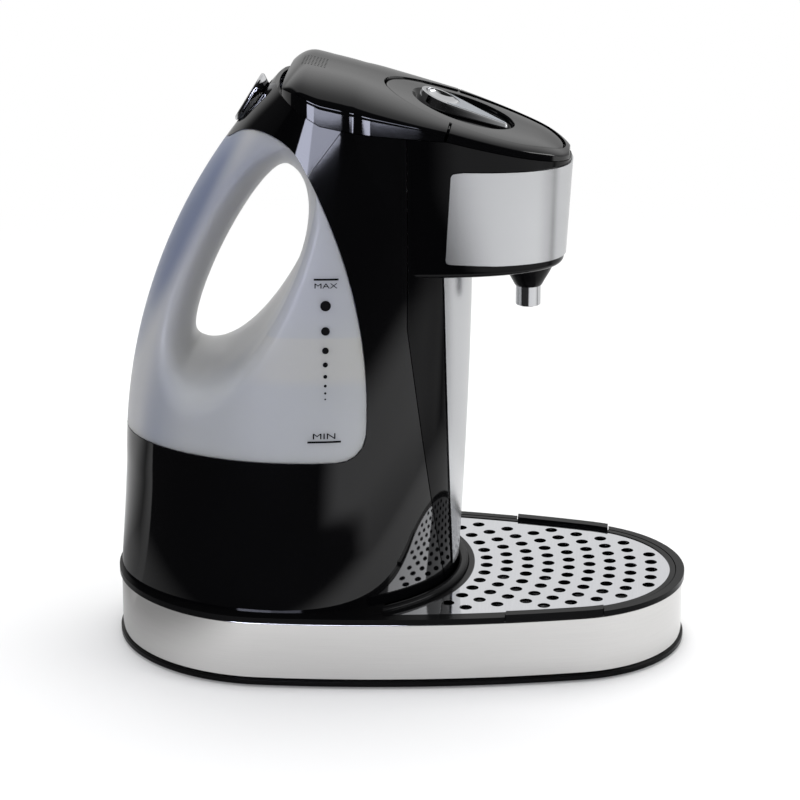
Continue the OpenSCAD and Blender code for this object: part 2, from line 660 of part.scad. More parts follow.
// Front cover with the ledge that carries the dial panel
module front_cover() color("#0b0b0c") difference() {
    union() {
        difference() {
            dome(0, 0, 0);
            dome(wall, wall, 1, lid_rear + wall, 84, 18);
            oval_prism(-oval_gap);
            split_cut(-1, -split_w / 2);
        }
        both_sides() {
            y_rod(eye_r, knuckle_y[0], knuckle_y[1]);
            translate([split_x, knuckle_y[0], hinge_z - 1]) cube([5, knuckle_y[1] - knuckle_y[0], 1.8]);
        }
    }
    both_sides() y_rod(hinge_r, 30, 60);
    both_sides() y_rod(eye_r + 0.4, eye_y[0] - 0.6, eye_y[1] + 0.2);
}
shaft_r = 3;
boss_l = 9;
module dial_panel() color("#101011") difference() {
    union() {
        intersection() {
            difference() {
                dome(0.5, panel_sink, 0);
                dome(1, panel_sink + panel_t, 1);
            }
            oval_prism(0);
        }
        at_knob() translate([0, 0, -boss_l]) cylinder(r = 7, h = boss_l - 3);
    }
    at_knob() translate([0, 0, -2.2]) cylinder(r = dish_r, h = 20);
    at_knob() translate([0, 0, -30]) cylinder(r = shaft_r + pin_play, h = 60);
}
knob_r = 12.5;
knob_tip_r = 2.6;
knob_tip_x = 22;
knob_low = -1.8;
knob_high = 4.4;
knob_lean = 5;
module teardrop(in) {
    d = knob_tip_x + knob_r;
    turn = acos((knob_r - knob_tip_r) / d);
    polygon(concat(arc([-knob_r, 0], knob_r - in, turn, 360 - turn, 24), arc([knob_tip_x, 0], knob_tip_r - in, -turn, turn, 8)));
}
module knob_cut(in) translate([-knob_r, 0, knob_high - in]) rotate([0, knob_lean, 0]) translate([-50, -50, 0]) cube([100, 100, 30]);
insert_t = 0.8;
bowl_r = 14;
module bowl(in) translate([-knob_r, 0, knob_high + 10.6]) sphere(r = bowl_r + in);
module insert_room(in) difference() {
    translate([0, 0, knob_low]) linear_extrude(20) intersection() {
        teardrop(1.2 + in);
        translate([-6 + in, -20]) square([40, 40]);
    }
    knob_cut_under(insert_t);
    bowl(1 + in);
}
module knob_cut_under(depth) translate([-knob_r, 0, knob_high - depth]) rotate([0, knob_lean, 0])
    translate([-50, -50, -30]) cube([100, 100, 30]);
module knob() color("#c6c8cb") at_knob() difference() {
    translate([0, 0, knob_low]) linear_extrude(knob_high + 6) teardrop(0);
    knob_cut(0);
    bowl(0);
    insert_room(0);
    translate([0, 0, knob_low - 1]) cylinder(r = shaft_r + 0.02, h = 2.6);
}
module knob_insert() color("#b4bac2") at_knob() difference() {
    insert_room(0.1);
    knob_cut(0);
}
switch_l = 12;
module knob_shaft() color("#d8d8d8") at_knob() translate([0, 0, -boss_l - switch_l + 2])
    cylinder(r = shaft_r, h = boss_l + switch_l - 2 + knob_low + 1.6);
module dose_switch() color("#3a3d40") at_knob() translate([0, 0, -boss_l - switch_l]) difference() {
    union() {
        cylinder(r = 11, h = switch_l);
        translate([-17, -6, 2]) cube([8, 12, 5]);
    }
    translate([0, 0, 1.6]) cylinder(r = shaft_r + pin_play, h = switch_l);
}

// Release button on the rear slope
button_rise = 8.6;
module release_button() color("#c9cacc") at_button() union() {
    difference() {
        pill(button_l, button_w, -3.4, 8);
        translate([0, 0, 4.1]) rotate([0, -button_rise, 0]) translate([-40, -40, 0]) cube([80, 80, 40]);
    }
    translate([0, 0, -4.4]) cylinder(r = 2.4, h = 1.2);
}
module button_spring() color("silver") at_button() translate([0, 0, -7.3]) difference() {
    cylinder(r = 3.8, h = 3.7);
    translate([0, 0, -1]) cylinder(r = 2.9, h = 6);
}
module lid_latch() color("#222223") intersection() {
    union() {
        translate([-49, -5, 288]) cube([3, 10, 25]);
        translate([-52, -5, 288]) cube([4, 10, 2.4]);
    }
    dome(wall + 0.2, wall + 0.15, 30, lid_rear + wall, 84, 18);
}

// Boiler and pump on the bottom plate
boiler_at = [-78, 0];
boiler_r = 36;
boiler_z = 48;
boiler_h = 44;
leg_r = 3.5;
element_r = 3.2;
module boiler() color("#b9babb") translate([boiler_at[0], boiler_at[1], boiler_z]) difference() {
    cylinder(r = boiler_r, h = boiler_h);
    translate([0, 0, 1.2]) cylinder(r = boiler_r - 1.2, h = boiler_h);
}
cover_t = 3;
module boiler_cover() color("#9a9b9d") translate([boiler_at[0], boiler_at[1], boiler_z + boiler_h]) difference() {
    union() {
        cylinder(r = boiler_r + 2, h = cover_t);
        for (p = [in_port, out_port]) translate([p[0], p[1], 0]) cylinder(r = 5, h = cover_t + 5);
    }
    for (p = [in_port, out_port]) translate([p[0], p[1], -1]) cylinder(r = 2.4, h = 20);
}
module boiler_legs() color("#8f9092") for (a = [60:120:300])
    translate([boiler_at[0] + 26 * cos(a), boiler_at[1] + 26 * sin(a), z_band]) cylinder(r = leg_r, h = boiler_z - z_band);
module heating_element() color("#6e6f72") translate([boiler_at[0], boiler_at[1], boiler_z - element_r]) {
    rotate_extrude() translate([16, 0]) circle(r = element_r);
}
module thermostat() color("#c8c4b8") translate([boiler_at[0] - 14, boiler_at[1], boiler_z + boiler_h + cover_t]) {
    cylinder(r = 9, h = 4);
    cylinder(r = 5, h = 7);
}
module pump() color("#4a4d52") translate([pump_at[0], pump_at[1], pump_z]) {
    translate([-pump_l / 2, 0, 0]) rotate([0, 90, 0]) cylinder(r = pump_r, h = pump_l);
    translate([-pump_l / 2 + 8, 0, 0]) cylinder(r = 4, h = pump_r + 6);
    translate([pump_l / 2 - 8, 0, 0]) cylinder(r = 4, h = pump_r + 6);
}
module pump_cradle() color("#2b2c2e") difference() {
    translate([cradle_x[0], pump_at[1] - cradle_w / 2, z_band]) cube([cradle_x[1] - cradle_x[0], cradle_w, pump_z - z_band - 4]);
    translate([pump_at[0] - pump_l, pump_at[1], pump_z]) rotate([0, 90, 0]) cylinder(r = pump_r + 0.15, h = 2 * pump_l);
    translate([cradle_x[0] + 3, pump_at[1] - 20, z_band + 3]) cube([cradle_x[1] - cradle_x[0] - 6, 40, pump_z - pump_r - z_band - 8]);
}

// Hoses of straight runs that meet in round elbows
hose_r = 4;
hose_bore = 2.5;
elbow_r = 4.7;
module run(p, q, r) {
    d = q - p;
    translate(p) rotate([0, acos(d[2] / norm(d)), atan2(d[1], d[0])]) cylinder(r = r, h = norm(d));
}
module hose(path) difference() {
    union() {
        for (i = [1:len(path) - 1]) run(path[i - 1], path[i], hose_r);
        for (i = [1:len(path) - 2]) translate(path[i]) sphere(r = elbow_r);
    }
    for (i = [1:len(path) - 1]) run(path[i - 1], path[i], hose_bore);
}
outlet_low = tank_z - outlet_h;
pump_out_x = pump_at[0] + pump_l / 2 - 8;
pump_port_z = pump_z + pump_r + 6;
port_z = boiler_z + boiler_h + cover_t + 5;
inlet_z = outlet_low - 10;
feed_z = tank_z - 9.5;
module inlet_hose() color("#dfe2e4") hose([[outlet_x, 0, outlet_low], [outlet_x, 0, inlet_z],
    [outlet_x, pump_at[1], inlet_z], [outlet_x, pump_at[1], pump_port_z]]);
module feed_hose() color("#dfe2e4") hose([[pump_out_x, pump_at[1], pump_port_z], [pump_out_x, pump_at[1], feed_z],
    [boiler_at[0] + in_port[0], pump_at[1], feed_z], [boiler_at[0] + in_port[0], pump_at[1], port_z]]);
rise_x = 17;
cross_z = 236;
module outlet_hose() color("#e6e6e2") hose([[boiler_at[0] + out_port[0], out_port[1], port_z],
    [boiler_at[0] + out_port[0], out_port[1], port_z + 6], [rise_x, out_port[1], port_z + 6],
    [rise_x, out_port[1], cross_z], [rise_x, 0, cross_z], [spout_x, 0, cross_z], [spout_x, 0, tube_top]]);
board_x = 30;
board_l = 44;
board_w = 46;
board_z = 250;
board_t = 1.6;
post_at = [for (i = [0, 1]) for (s = [-1, 1]) [board_x + 4 + i * (board_l - 8), s * (board_w / 2 - 4)]];
module control_board() color("#2f6b3f") difference() {
    union() {
        translate([board_x, -board_w / 2, board_z]) cube([board_l, board_w, board_t]);
        translate([board_x + 10, -8, board_z + board_t]) cube([14, 16, 6]);
    }
    for (p = post_at) translate([p[0], p[1], board_z - 1]) cylinder(r = 1.7, h = 5);
}
module board_posts() color("#1c1c1d") for (p = post_at) translate([p[0], p[1], head_z + wall]) difference() {
    cylinder(r = 3.2, h = board_z - head_z - wall);
    translate([0, 0, board_z - head_z - wall - 10]) cylinder(r = 1.35, h = 11);
}
module board_screws() color("silver") for (p = post_at) translate([p[0], p[1], board_z - 8]) {
    cylinder(r = 1.3, h = 9.6);
    translate([0, 0, 8 + board_t]) cylinder(r = 2.8, h = 1.6);
}

bottom_plate();
feet();
bottom_screws();
base_band();
base_deck();
cord_gland();
drip_tray();
drip_grille();
rear_casing();
front_casing();
splash_panel();
head_panel();
spout_cone();
spout_tube();
spout_seal();
tank();
tank_collar();
tank_outlet();
outlet_filter();
tank_shelf();
mouth_frame();
lid();
lid_seal();
hinge_pins();
front_cover();
dial_panel();
knob();
knob_insert();
knob_shaft();
dose_switch();
release_button();
button_spring();
lid_latch();
boiler();
boiler_cover();
boiler_legs();
heating_element();
thermostat();
pump();
pump_cradle();
inlet_hose();
feed_hose();
outlet_hose();
control_board();
board_posts();
board_screws();
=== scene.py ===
import math

import bmesh
import bpy
from mathutils import Matrix, Vector


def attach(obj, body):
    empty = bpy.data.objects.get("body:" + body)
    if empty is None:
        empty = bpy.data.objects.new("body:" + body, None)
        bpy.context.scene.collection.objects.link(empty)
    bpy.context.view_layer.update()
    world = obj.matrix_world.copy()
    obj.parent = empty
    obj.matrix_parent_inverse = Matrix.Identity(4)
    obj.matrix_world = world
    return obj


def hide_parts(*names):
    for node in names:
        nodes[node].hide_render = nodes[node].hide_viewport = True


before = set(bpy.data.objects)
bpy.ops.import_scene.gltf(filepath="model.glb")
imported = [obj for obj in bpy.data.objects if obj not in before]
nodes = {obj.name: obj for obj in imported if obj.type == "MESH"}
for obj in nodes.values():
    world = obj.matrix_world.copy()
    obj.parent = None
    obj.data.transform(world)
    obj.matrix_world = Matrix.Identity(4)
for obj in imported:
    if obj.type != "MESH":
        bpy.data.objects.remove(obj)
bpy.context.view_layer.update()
MM = 0.001
TURN = 2 * math.pi


# Sizes of the housing, in millimetres, as in the CAD model
BASE_L, BASE_REAR_R, BASE_FRONT_R, BASE_SIDE_R = 303.0, 86.0, 68.5, 604.0
Z_PLATE, Z_BAND, Z_RIM, Z_DECK = 1.2, 4.5, 35.7, 38.8
BAND_IN, BAND_T = 1.2, 0.8
TOWER_W, TOWER_TAPER, TOWER_X, TOWER_SHIFT = 78.5, 0.1163, -59.5, 0.078
REAR_X, REAR_Z, LEAN_R, REAR_FLARE, FLARE_POWER = -146.4, 98.0, 300.0, 4.0, 1.2
COLUMN_X, COLUMN_LEAN, NECK_Z, COLUMN_POWER = 36.0, 6.4, 200.0, 1.5
WALL = 2.4
HEAD_X, NOSE_X, HEAD_W, HEAD_TAPER, HEAD_Z, HEAD_BACK = -9.5, 87.8, 43.0, 0.096, 209.0, 30.0
NOSE_LEAN, PANEL_TOP = 0.06, 263.2
NOSE_POWER, ARCH_POWER, SKIRT, SKIRT_LEAN = 2.3, 2.5, 0.42, 0.1
TOP_Z, TOP_FALL = 300.2, 0.327
SPLIT_X, SLIT_W = 27.0, 1.5
OVAL_X, OVAL_A, OVAL_B, OVAL_GAP = 38.0, 46.0, 36.0, 0.8
KNOB_X = 32.0
KNOB_Z = TOP_Z - TOP_FALL * KNOB_X
SLOPE = math.atan(TOP_FALL)
TANK_Z, TANK_EDGE_R, TANK_EDGE_X, TANK_EDGE_Z, TANK_CORNER_R = 117.5, 258.0, -13.4, 143.0, 14.0
GRIP_TOP_R, GRIP_TOP_TURN, COLLAR_TURN = 24.0, math.radians(29.8), math.radians(28)
HOLE_L, HOLE_BACK, HOLE_FRONT, HOLE_TURN = 111.0, 12.0, 27.3, math.radians(63.4)
HOLE_FOOT = (-107.0, 160.6)
FLARE_TOP, FLARE_FOOT, FLARE_BACK, FLARE_FRONT = 0.0078, 0.0063, 0.0109, 0.0005
SPOUT_X, SPOUT_D, SPOUT_LOW, CONE_H, CONE_R = 66.3, 13.0, 10.5, 13.5, 14.2
RING_X, RING_R = -54.0, 90.0
SEAM_GAP = 0.4
BUTTON_Z = 291.0
BUTTON_TILT = math.acos((BUTTON_Z - REAR_Z) / LEAN_R)


# Reach of the cutting tools past the part: far off, ahead, above and to each side
FAR, AHEAD, ABOVE, ASIDE = 200.0, 130.0, 420.0, 130.0


# Outlines and sections
OVAL_X1 = -BASE_L / 2 + BASE_REAR_R
OVAL_X2 = BASE_L / 2 - BASE_FRONT_R
SPAN = OVAL_X2 - OVAL_X1
REAR_REACH = BASE_SIDE_R - BASE_REAR_R
FRONT_REACH = BASE_SIDE_R - BASE_FRONT_R
SIDE_X = OVAL_X1 + (SPAN ** 2 + REAR_REACH ** 2 - FRONT_REACH ** 2) / (2 * SPAN)
SIDE_Y = math.sqrt(REAR_REACH ** 2 - (SIDE_X - OVAL_X1) ** 2)
TURN_1 = math.atan2(SIDE_Y, OVAL_X1 - SIDE_X)
TURN_2 = math.atan2(SIDE_Y, OVAL_X2 - SIDE_X)
BASE_ARCS = [
    (SIDE_X, -SIDE_Y, BASE_SIDE_R, TURN_1, TURN_2),
    (OVAL_X2, 0.0, BASE_FRONT_R, TURN_2, -TURN_2),
    (SIDE_X, SIDE_Y, BASE_SIDE_R, -TURN_2, -TURN_1),
    (OVAL_X1, 0.0, BASE_REAR_R, -TURN_1, TURN_1 - TURN),
]
BASE_LENGTHS = [r * abs(a1 - a0) for _, _, r, a0, a1 in BASE_ARCS]


def base_point(t, inset):
    """Point of the base's oval at t of the way round, drawn in by inset."""
    along = (t % 1.0) * sum(BASE_LENGTHS)
    for (cx, cy, r, a0, a1), length in zip(BASE_ARCS, BASE_LENGTHS):
        if along <= length:
            break
        along -= length
    a = a0 + (a1 - a0) * min(1.0, along / length)
    return cx + (r - inset) * math.cos(a), cy + (r - inset) * math.sin(a)


def base_outline(inset, n=300):
    return [base_point(i / n, inset) for i in range(n)]


def tower_mid(z):
    return TOWER_X + TOWER_SHIFT * (z - Z_DECK)


def tower_half(z):
    return TOWER_W - TOWER_TAPER * (z - Z_DECK)


def tower_rear(z):
    if z > REAR_Z:
        return REAR_X + LEAN_R - math.sqrt(LEAN_R ** 2 - (z - REAR_Z) ** 2)
    return REAR_X - REAR_FLARE * ((REAR_Z - z) / (REAR_Z - Z_DECK)) ** FLARE_POWER


def tower_front(z):
    return COLUMN_X - COLUMN_LEAN * (max(0.0, NECK_Z - z) / (NECK_Z - Z_DECK)) ** COLUMN_POWER


def tower_at(a, z, inset=0.0):
    m = tower_mid(z)
    reach = m - tower_rear(z) if math.cos(a) < 0 else tower_front(z) - m
    return m + (reach - inset) * math.cos(a), (tower_half(z) - inset) * math.sin(a), z


def nose_at(z):
    return NOSE_X - NOSE_LEAN * (PANEL_TOP - z)


def head_half(z):
    return HEAD_W + HEAD_TAPER * (z - HEAD_Z)


def power(v, p):
    return math.copysign(abs(v) ** p, v)


def head_at(a, z, inset=0.0):
    reach = HEAD_BACK if math.cos(a) < 0 else nose_at(z) - HEAD_X
    p = 2 / NOSE_POWER
    return (HEAD_X + (reach - inset) * power(math.cos(a), p),
            (head_half(z) - inset) * power(math.sin(a), p), z)


def ellipse(u, p):
    return (1 - abs(u) ** p) ** (1 / p) if abs(u) < 1 else 0.0


def tower_side(x, z):
    """Half width of the tower at x and z."""
    m = tower_mid(z)
    reach = tower_front(z) - m if x > m else m - tower_rear(z)
    return tower_half(z) * ellipse((x - m) / reach, 2)


def body_side(x, z):
    reach = nose_at(z) - HEAD_X if x > HEAD_X else HEAD_BACK
    return max(tower_side(x, z), head_half(z) * ellipse((x - HEAD_X) / reach, NOSE_POWER))


SEAM = [(AHEAD, 253.5), (SPLIT_X - 0.5, 282.7), (-22.5, 286.7), (-37.5, 290.0), (-63.0, 305.0),
        (-110.0, 332.6)]


def seam_z(x):
    for (x0, z0), (x1, z1) in zip(SEAM, SEAM[1:]):
        if x >= x1:
            return z0 + (z1 - z0) * (x0 - x) / (x0 - x1)
    return SEAM[-1][1]


TOP_BEND_X, TOP_BEND_SOFT, TOP_BEND_FALL = -24.0, 8.0, 0.0575
TOP_REAR_X, TOP_REAR_DROP, TOP_NOSE_X, TOP_NOSE_DROP = -46.0, 0.05, 70.0, 0.01
LEAST_HALF, LEAST_RISE = 0.4, 0.3


def top_line(x):
    """Height of the top's ridge at x."""
    past = x - TOP_BEND_X
    bend = TOP_BEND_FALL * (math.sqrt(past ** 2 + TOP_BEND_SOFT ** 2) - past)
    return (TOP_Z - TOP_FALL * x - bend - TOP_REAR_DROP * max(0.0, TOP_REAR_X - x) ** 2
            - TOP_NOSE_DROP * max(0.0, x - TOP_NOSE_X) ** 2)


def dome_z(x, y):
    """Height of the sloping top over a point."""
    zs = seam_z(x)
    rise = top_line(x) - zs
    half = max(LEAST_HALF, body_side(x, zs) - SKIRT_LEAN * SKIRT * rise)
    return zs + rise * (SKIRT + (1 - SKIRT) * ellipse(y / half, ARCH_POWER))


def arc(c, r, a0, a1, n):
    turns = [a0 + (a1 - a0) * i / n for i in range(n + 1)]
    return [(c[0] + r * math.cos(a), c[1] + r * math.sin(a)) for a in turns]


def circle(c, r, n):
    return arc(c, r, 0, TURN * (n - 1) / n, n - 1)


EDGE_C = (TANK_EDGE_X - TANK_EDGE_R, TANK_EDGE_Z)
CORNER_DZ = TANK_Z + TANK_CORNER_R - TANK_EDGE_Z
CORNER_TURN = math.asin(CORNER_DZ / (TANK_EDGE_R - TANK_CORNER_R))
CORNER_C = (EDGE_C[0] + (TANK_EDGE_R - TANK_CORNER_R) * math.cos(CORNER_TURN),
            EDGE_C[1] + CORNER_DZ)
TOP_C = (EDGE_C[0] + (TANK_EDGE_R - GRIP_TOP_R) * math.cos(GRIP_TOP_TURN),
         EDGE_C[1] + (TANK_EDGE_R - GRIP_TOP_R) * math.sin(GRIP_TOP_TURN))
JOINT = (EDGE_C[0] + TANK_EDGE_R * math.cos(COLLAR_TURN),
         EDGE_C[1] + TANK_EDGE_R * math.sin(COLLAR_TURN))
TOP_END = math.radians(130)
TOP_LAST = (TOP_C[0] + GRIP_TOP_R * math.cos(TOP_END), TOP_C[1] + GRIP_TOP_R * math.sin(TOP_END))


def tank_outline(inset):
    """Side view of the window that the tank fills."""
    return ([(-FAR, TANK_Z + inset)]
            + arc(CORNER_C, TANK_CORNER_R - inset, -math.pi / 2, CORNER_TURN, 14)
            + arc(EDGE_C, TANK_EDGE_R - inset, CORNER_TURN, GRIP_TOP_TURN, 44)[1:]
            + arc(TOP_C, GRIP_TOP_R - inset, GRIP_TOP_TURN, TOP_END, 36)[1:]
            + [(-FAR, TOP_LAST[1] - inset + (TOP_LAST[0] + FAR) / math.tan(TOP_END))])


COLLAR_LEAN, COLLAR_TOP, COLLAR_FOOT, COLLAR_LAP = 20.6, 292.0, 20, 2.0


def collar_outline(gap):
    """Side view of the collar over the grip."""
    x, z, foot = JOINT[0] - gap, JOINT[1], JOINT[1] - COLLAR_FOOT
    return [(x, foot), (x, z), (x + COLLAR_LEAN, COLLAR_TOP), (x + COLLAR_LEAN, ABOVE),
            (-FAR, ABOVE), (-FAR, foot)]


def over_seam(gap):
    """Side view of all that lies above the seam under the lid."""
    return [(x, z - gap) for x, z in SEAM] + [(-FAR, ABOVE), (AHEAD, ABOVE)]


HOLE_U = (math.cos(HOLE_TURN), math.sin(HOLE_TURN))
HOLE_V = (math.sin(HOLE_TURN), -math.cos(HOLE_TURN))
HOLE_C = (HOLE_FOOT[0] + HOLE_L / 2 * HOLE_U[0], HOLE_FOOT[1] + HOLE_L / 2 * HOLE_U[1])
PART_X, PART_Z, PART_FALL, PART_REACH = 6.3, 184.0, 0.128, 260.0


def part_outline(gap, side):
    """Side view of what lies ahead of or behind the line between the casings."""
    x = PART_X + gap
    return [(x, ABOVE), (x, PART_Z), (x + PART_FALL * PART_Z, 0.0), (side * PART_REACH, 0.0),
            (side * PART_REACH, ABOVE)]


# Mesh tools
def new_piece(name, bm, clean=True):
    """An object made of the bmesh, with its place in its mesh."""
    if clean:
        bmesh.ops.remove_doubles(bm, verts=bm.verts, dist=1e-6)
        bmesh.ops.dissolve_degenerate(bm, dist=1e-7, edges=bm.edges)
        bmesh.ops.recalc_face_normals(bm, faces=bm.faces)
    mesh = bpy.data.meshes.new(name)
    bm.to_mesh(mesh)
    bm.free()
    piece = bpy.data.objects.new(name, mesh)
    bpy.context.scene.collection.objects.link(piece)
    return piece


def mapped_grid(name, nu, nv, place, cap=False):
    """A grid whose points are put in place by a rule, with open ends closed on demand."""
    bm = bmesh.new()
    bmesh.ops.create_grid(bm, x_segments=nu, y_segments=nv, size=0.5)
    for v in bm.verts:
        v.co = Vector(place(v.co.x + 0.5, v.co.y + 0.5)) * MM
    bmesh.ops.remove_doubles(bm, verts=bm.verts, dist=1e-6)
    if cap:
        bmesh.ops.holes_fill(bm, edges=[e for e in bm.edges if e.is_boundary], sides=0)
    return new_piece(name, bm)


def flat_face(bm, points):
    """One face with its corners at points in millimetres."""
    ring = bmesh.ops.create_circle(bm, cap_ends=True, segments=len(points), radius=1.0)["verts"]
    for v, point in zip(ring, points):
        v.co = Vector(point) * MM


def grow(bm, step):
    """Extrudes the faces by a step in millimetres."""
    grown = bmesh.ops.extrude_face_region(bm, geom=bm.faces[:])["geom"]
    verts = [g for g in grown if isinstance(g, bmesh.types.BMVert)]
    bmesh.ops.translate(bm, vec=Vector(step) * MM, verts=verts)


def prism(name, outline, low, high, axis="Z"):
    """A straight prism over an outline, along Z or through the sides along Y."""
    bm = bmesh.new()
    flat_face(bm, [(a, b, low) if axis == "Z" else (a, low, b) for a, b in outline])
    grow(bm, (0, 0, high - low) if axis == "Z" else (0, high - low, 0))
    return new_piece(name, bm)


def side_cut(outline):
    """A prism through both sides of the part."""
    return prism("cutter", outline, -ASIDE, ASIDE, "Y")


def settle(piece):
    """Makes the modifiers part of the mesh."""
    shape = piece.evaluated_get(bpy.context.evaluated_depsgraph_get())
    mesh = bpy.data.meshes.new_from_object(shape)
    piece.modifiers.clear()
    piece.data = mesh
    return piece


def thicken(piece, thickness, offset):
    """Gives a sheet its thickness."""
    sheet = piece.modifiers.new("sheet", "SOLIDIFY")
    sheet.thickness = thickness * MM
    sheet.offset = offset
    return settle(piece)


def carve(piece, tool, how="DIFFERENCE"):
    cut = piece.modifiers.new("carve", "BOOLEAN")
    cut.operation = how
    cut.solver = "EXACT"
    cut.object = tool
    settle(piece)
    bpy.data.objects.remove(tool)
    return piece


def copy_of(piece, name):
    twin = bpy.data.objects.new(name, piece.data.copy())
    bpy.context.scene.collection.objects.link(twin)
    return twin


def spun(name, profile, x, y, steps=72):
    """A turned piece: a profile of radius and height spun about an upright axis."""
    bm = bmesh.new()
    row = [bm.verts.new(Vector((x + r, y, z)) * MM) for r, z in profile]
    edges = [bm.edges.new(pair) for pair in zip(row, row[1:])]
    bmesh.ops.spin(bm, geom=row + edges, cent=Vector((x, y, 0)) * MM, axis=(0, 0, 1), angle=TURN,
                   steps=steps, use_merge=True)
    return new_piece(name, bm)


def swept(name, profile, steps=300):
    """A ring that follows the base's oval: a closed profile of inset and height."""
    n = len(profile)

    def place(u, v):
        inset, z = profile[round(v * n) % n]
        x, y = base_point(u, inset)
        return x, y, z
    return mapped_grid(name, steps, n, place)


def dress(piece, body, material, slot, *replaced, bevel=0.0, segments=2, angle=32, crease=None):
    """Shading, edges and finish of a piece, and the body that it rides on."""
    piece.data.shade_smooth()
    piece.data.set_sharp_from_angle(angle=math.radians(crease or angle))
    piece.data.materials.clear()
    piece.data.materials.append(material)
    if bevel:
        edge = piece.modifiers.new("edge", "BEVEL")
        edge.width = bevel * MM
        edge.segments = segments
        edge.limit_method = "ANGLE"
        edge.angle_limit = math.radians(angle)
        edge.profile = 0.5
        edge.material = -1
        edge.harden_normals = True
    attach(piece, body)
    for node in replaced:
        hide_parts(node)
    return piece


# Finishes
def linear(code):
    """Linear colour of an sRGB hex value."""
    parts = [int(code[i:i + 2], 16) / 255 for i in (1, 3, 5)]
    return [c / 12.92 if c <= 0.04045 else ((c + 0.055) / 1.055) ** 2.4 for c in parts] + [1.0]


def add(tree, kind, inputs=None, **settings):
    """Adds a node with settings, values and links. A node given as a value is its first output."""
    made = tree.nodes.new(kind)
    for key, value in settings.items():
        setattr(made, key, value)
    for socket, value in (inputs or {}).items():
        if isinstance(value, bpy.types.Node):
            value = next(out for out in value.outputs if out.enabled)
        if isinstance(value, bpy.types.NodeSocket):
            tree.links.new(value, made.inputs[socket])
        else:
            made.inputs[socket].default_value = value
    return made


def soft_steps(tree, *steps):
    """Product of soft steps, each from one level to another as its value goes from low to high."""
    product = None
    for value, low, high, level_low, level_high in steps:
        span = {"Value": value, "From Min": low, "From Max": high, "To Min": level_low,
                "To Max": level_high}
        step = add(tree, "ShaderNodeMapRange", span, interpolation_type="SMOOTHSTEP")
        if product is None:
            product = step
        else:
            product = add(tree, "ShaderNodeMath", {0: product, 1: step}, operation="MULTIPLY")
    return product


def finish(name):
    """A new material with its node tree and its object coordinates."""
    material = bpy.data.materials.new(name)
    material.use_nodes = True
    tree = material.node_tree
    tree.nodes.clear()
    return material, tree, add(tree, "ShaderNodeTexCoord").outputs["Object"]


def surface(tree, inputs):
    """The shader with all that feeds it, and the output."""
    shader = add(tree, "ShaderNodeBsdfPrincipled", inputs)
    add(tree, "ShaderNodeOutputMaterial", {"Surface": shader})


def toned(tree, pattern, dark, light, rough):
    """Colour and roughness that follow a pattern between two values each."""
    tone = add(tree, "ShaderNodeMix", {"Factor": pattern, 6: linear(dark), 7: linear(light)},
               data_type="RGBA")
    gloss = add(tree, "ShaderNodeMapRange",
                {"Value": pattern, "To Min": rough[0], "To Max": rough[1]})
    return {"Base Color": tone, "Roughness": gloss}


PER_METRE, GRAIN_DEPTH, LINE_DEPTH = 1000.0, 0.0002, 0.0001


def mottled(name, dark, light, rough, grain_mm, patch_mm, bump=0.0, **values):
    """A moulded or cast finish: two close tones in patches, with a fine surface grain."""
    material, tree, where = finish(name)
    patch = add(tree, "ShaderNodeTexNoise",
                {"Vector": where, "Scale": PER_METRE / patch_mm, "Detail": 3.0})
    inputs = toned(tree, patch, dark, light, rough)
    if bump:
        grain = add(tree, "ShaderNodeTexNoise",
                    {"Vector": where, "Scale": PER_METRE / grain_mm, "Detail": 2.0})
        inputs["Normal"] = add(tree, "ShaderNodeBump", {"Height": grain, "Strength": bump,
                                                        "Distance": GRAIN_DEPTH})
    for socket, value in values.items():
        inputs[socket.replace("_", " ")] = value
    surface(tree, inputs)
    return material


# Piano black ABS from a polished mould: deep black with clear, slightly soft reflections
GLOSS_BLACK = mottled("piano_black_abs", "#040405", "#070708", (0.03, 0.06), 6.0, 45.0, 0.012,
                      IOR=1.5, Specular_IOR_Level=0.42)
# The same plastic on the column and the head, a shade darker and with fainter reflections: painted
# shade
SHADED_BLACK = mottled("piano_black_abs_shaded", "#030304", "#060607", (0.03, 0.06), 6.0, 45.0, 0.012,
                     IOR=1.5, Specular_IOR_Level=0.15)
# The same plastic from a spark-eroded mould: satin, for rims, tray and cone
SATIN_BLACK = mottled("satin_black_abs", "#060607", "#0a0a0b", (0.12, 0.2), 0.8, 20.0, 0.06,
                      IOR=1.5, Specular_IOR_Level=0.07)
# Moulded rubber and plastic inside: dull, with a fine grain
RUBBER = mottled("moulded_rubber", "#141414", "#1d1d1d", (0.7, 0.85), 0.6, 8.0, 0.3)
INNER_PLASTIC = mottled("glass_filled_nylon", "#2a2b2d", "#353638", (0.5, 0.65), 0.7, 12.0, 0.2)
PALE_HOSE = mottled("silicone_hose", "#c9ccc9", "#dadcd8", (0.4, 0.5), 1.0, 15.0, 0.1)
# Lacquer over green laminate: an even green with a soft shine
BOARD_GREEN = mottled("circuit_board_lacquer", "#1f5632", "#2a6a3f", (0.3, 0.45), 1.0, 5.0, 0.1)
# Chromed ABS: a bright mirror with slight waves in its polish
CHROME = mottled("chromed_abs", "#c9cacc", "#d4d5d7", (0.03, 0.07), 5.0, 20.0, 0.0, Metallic=1.0)
# Pad-printed ink: a thin matt black
MARK_INK = mottled("pad_print_ink", "#050505", "#0a0a0a", (0.45, 0.55), 1.0, 4.0,
                   Specular_IOR_Level=0.1)


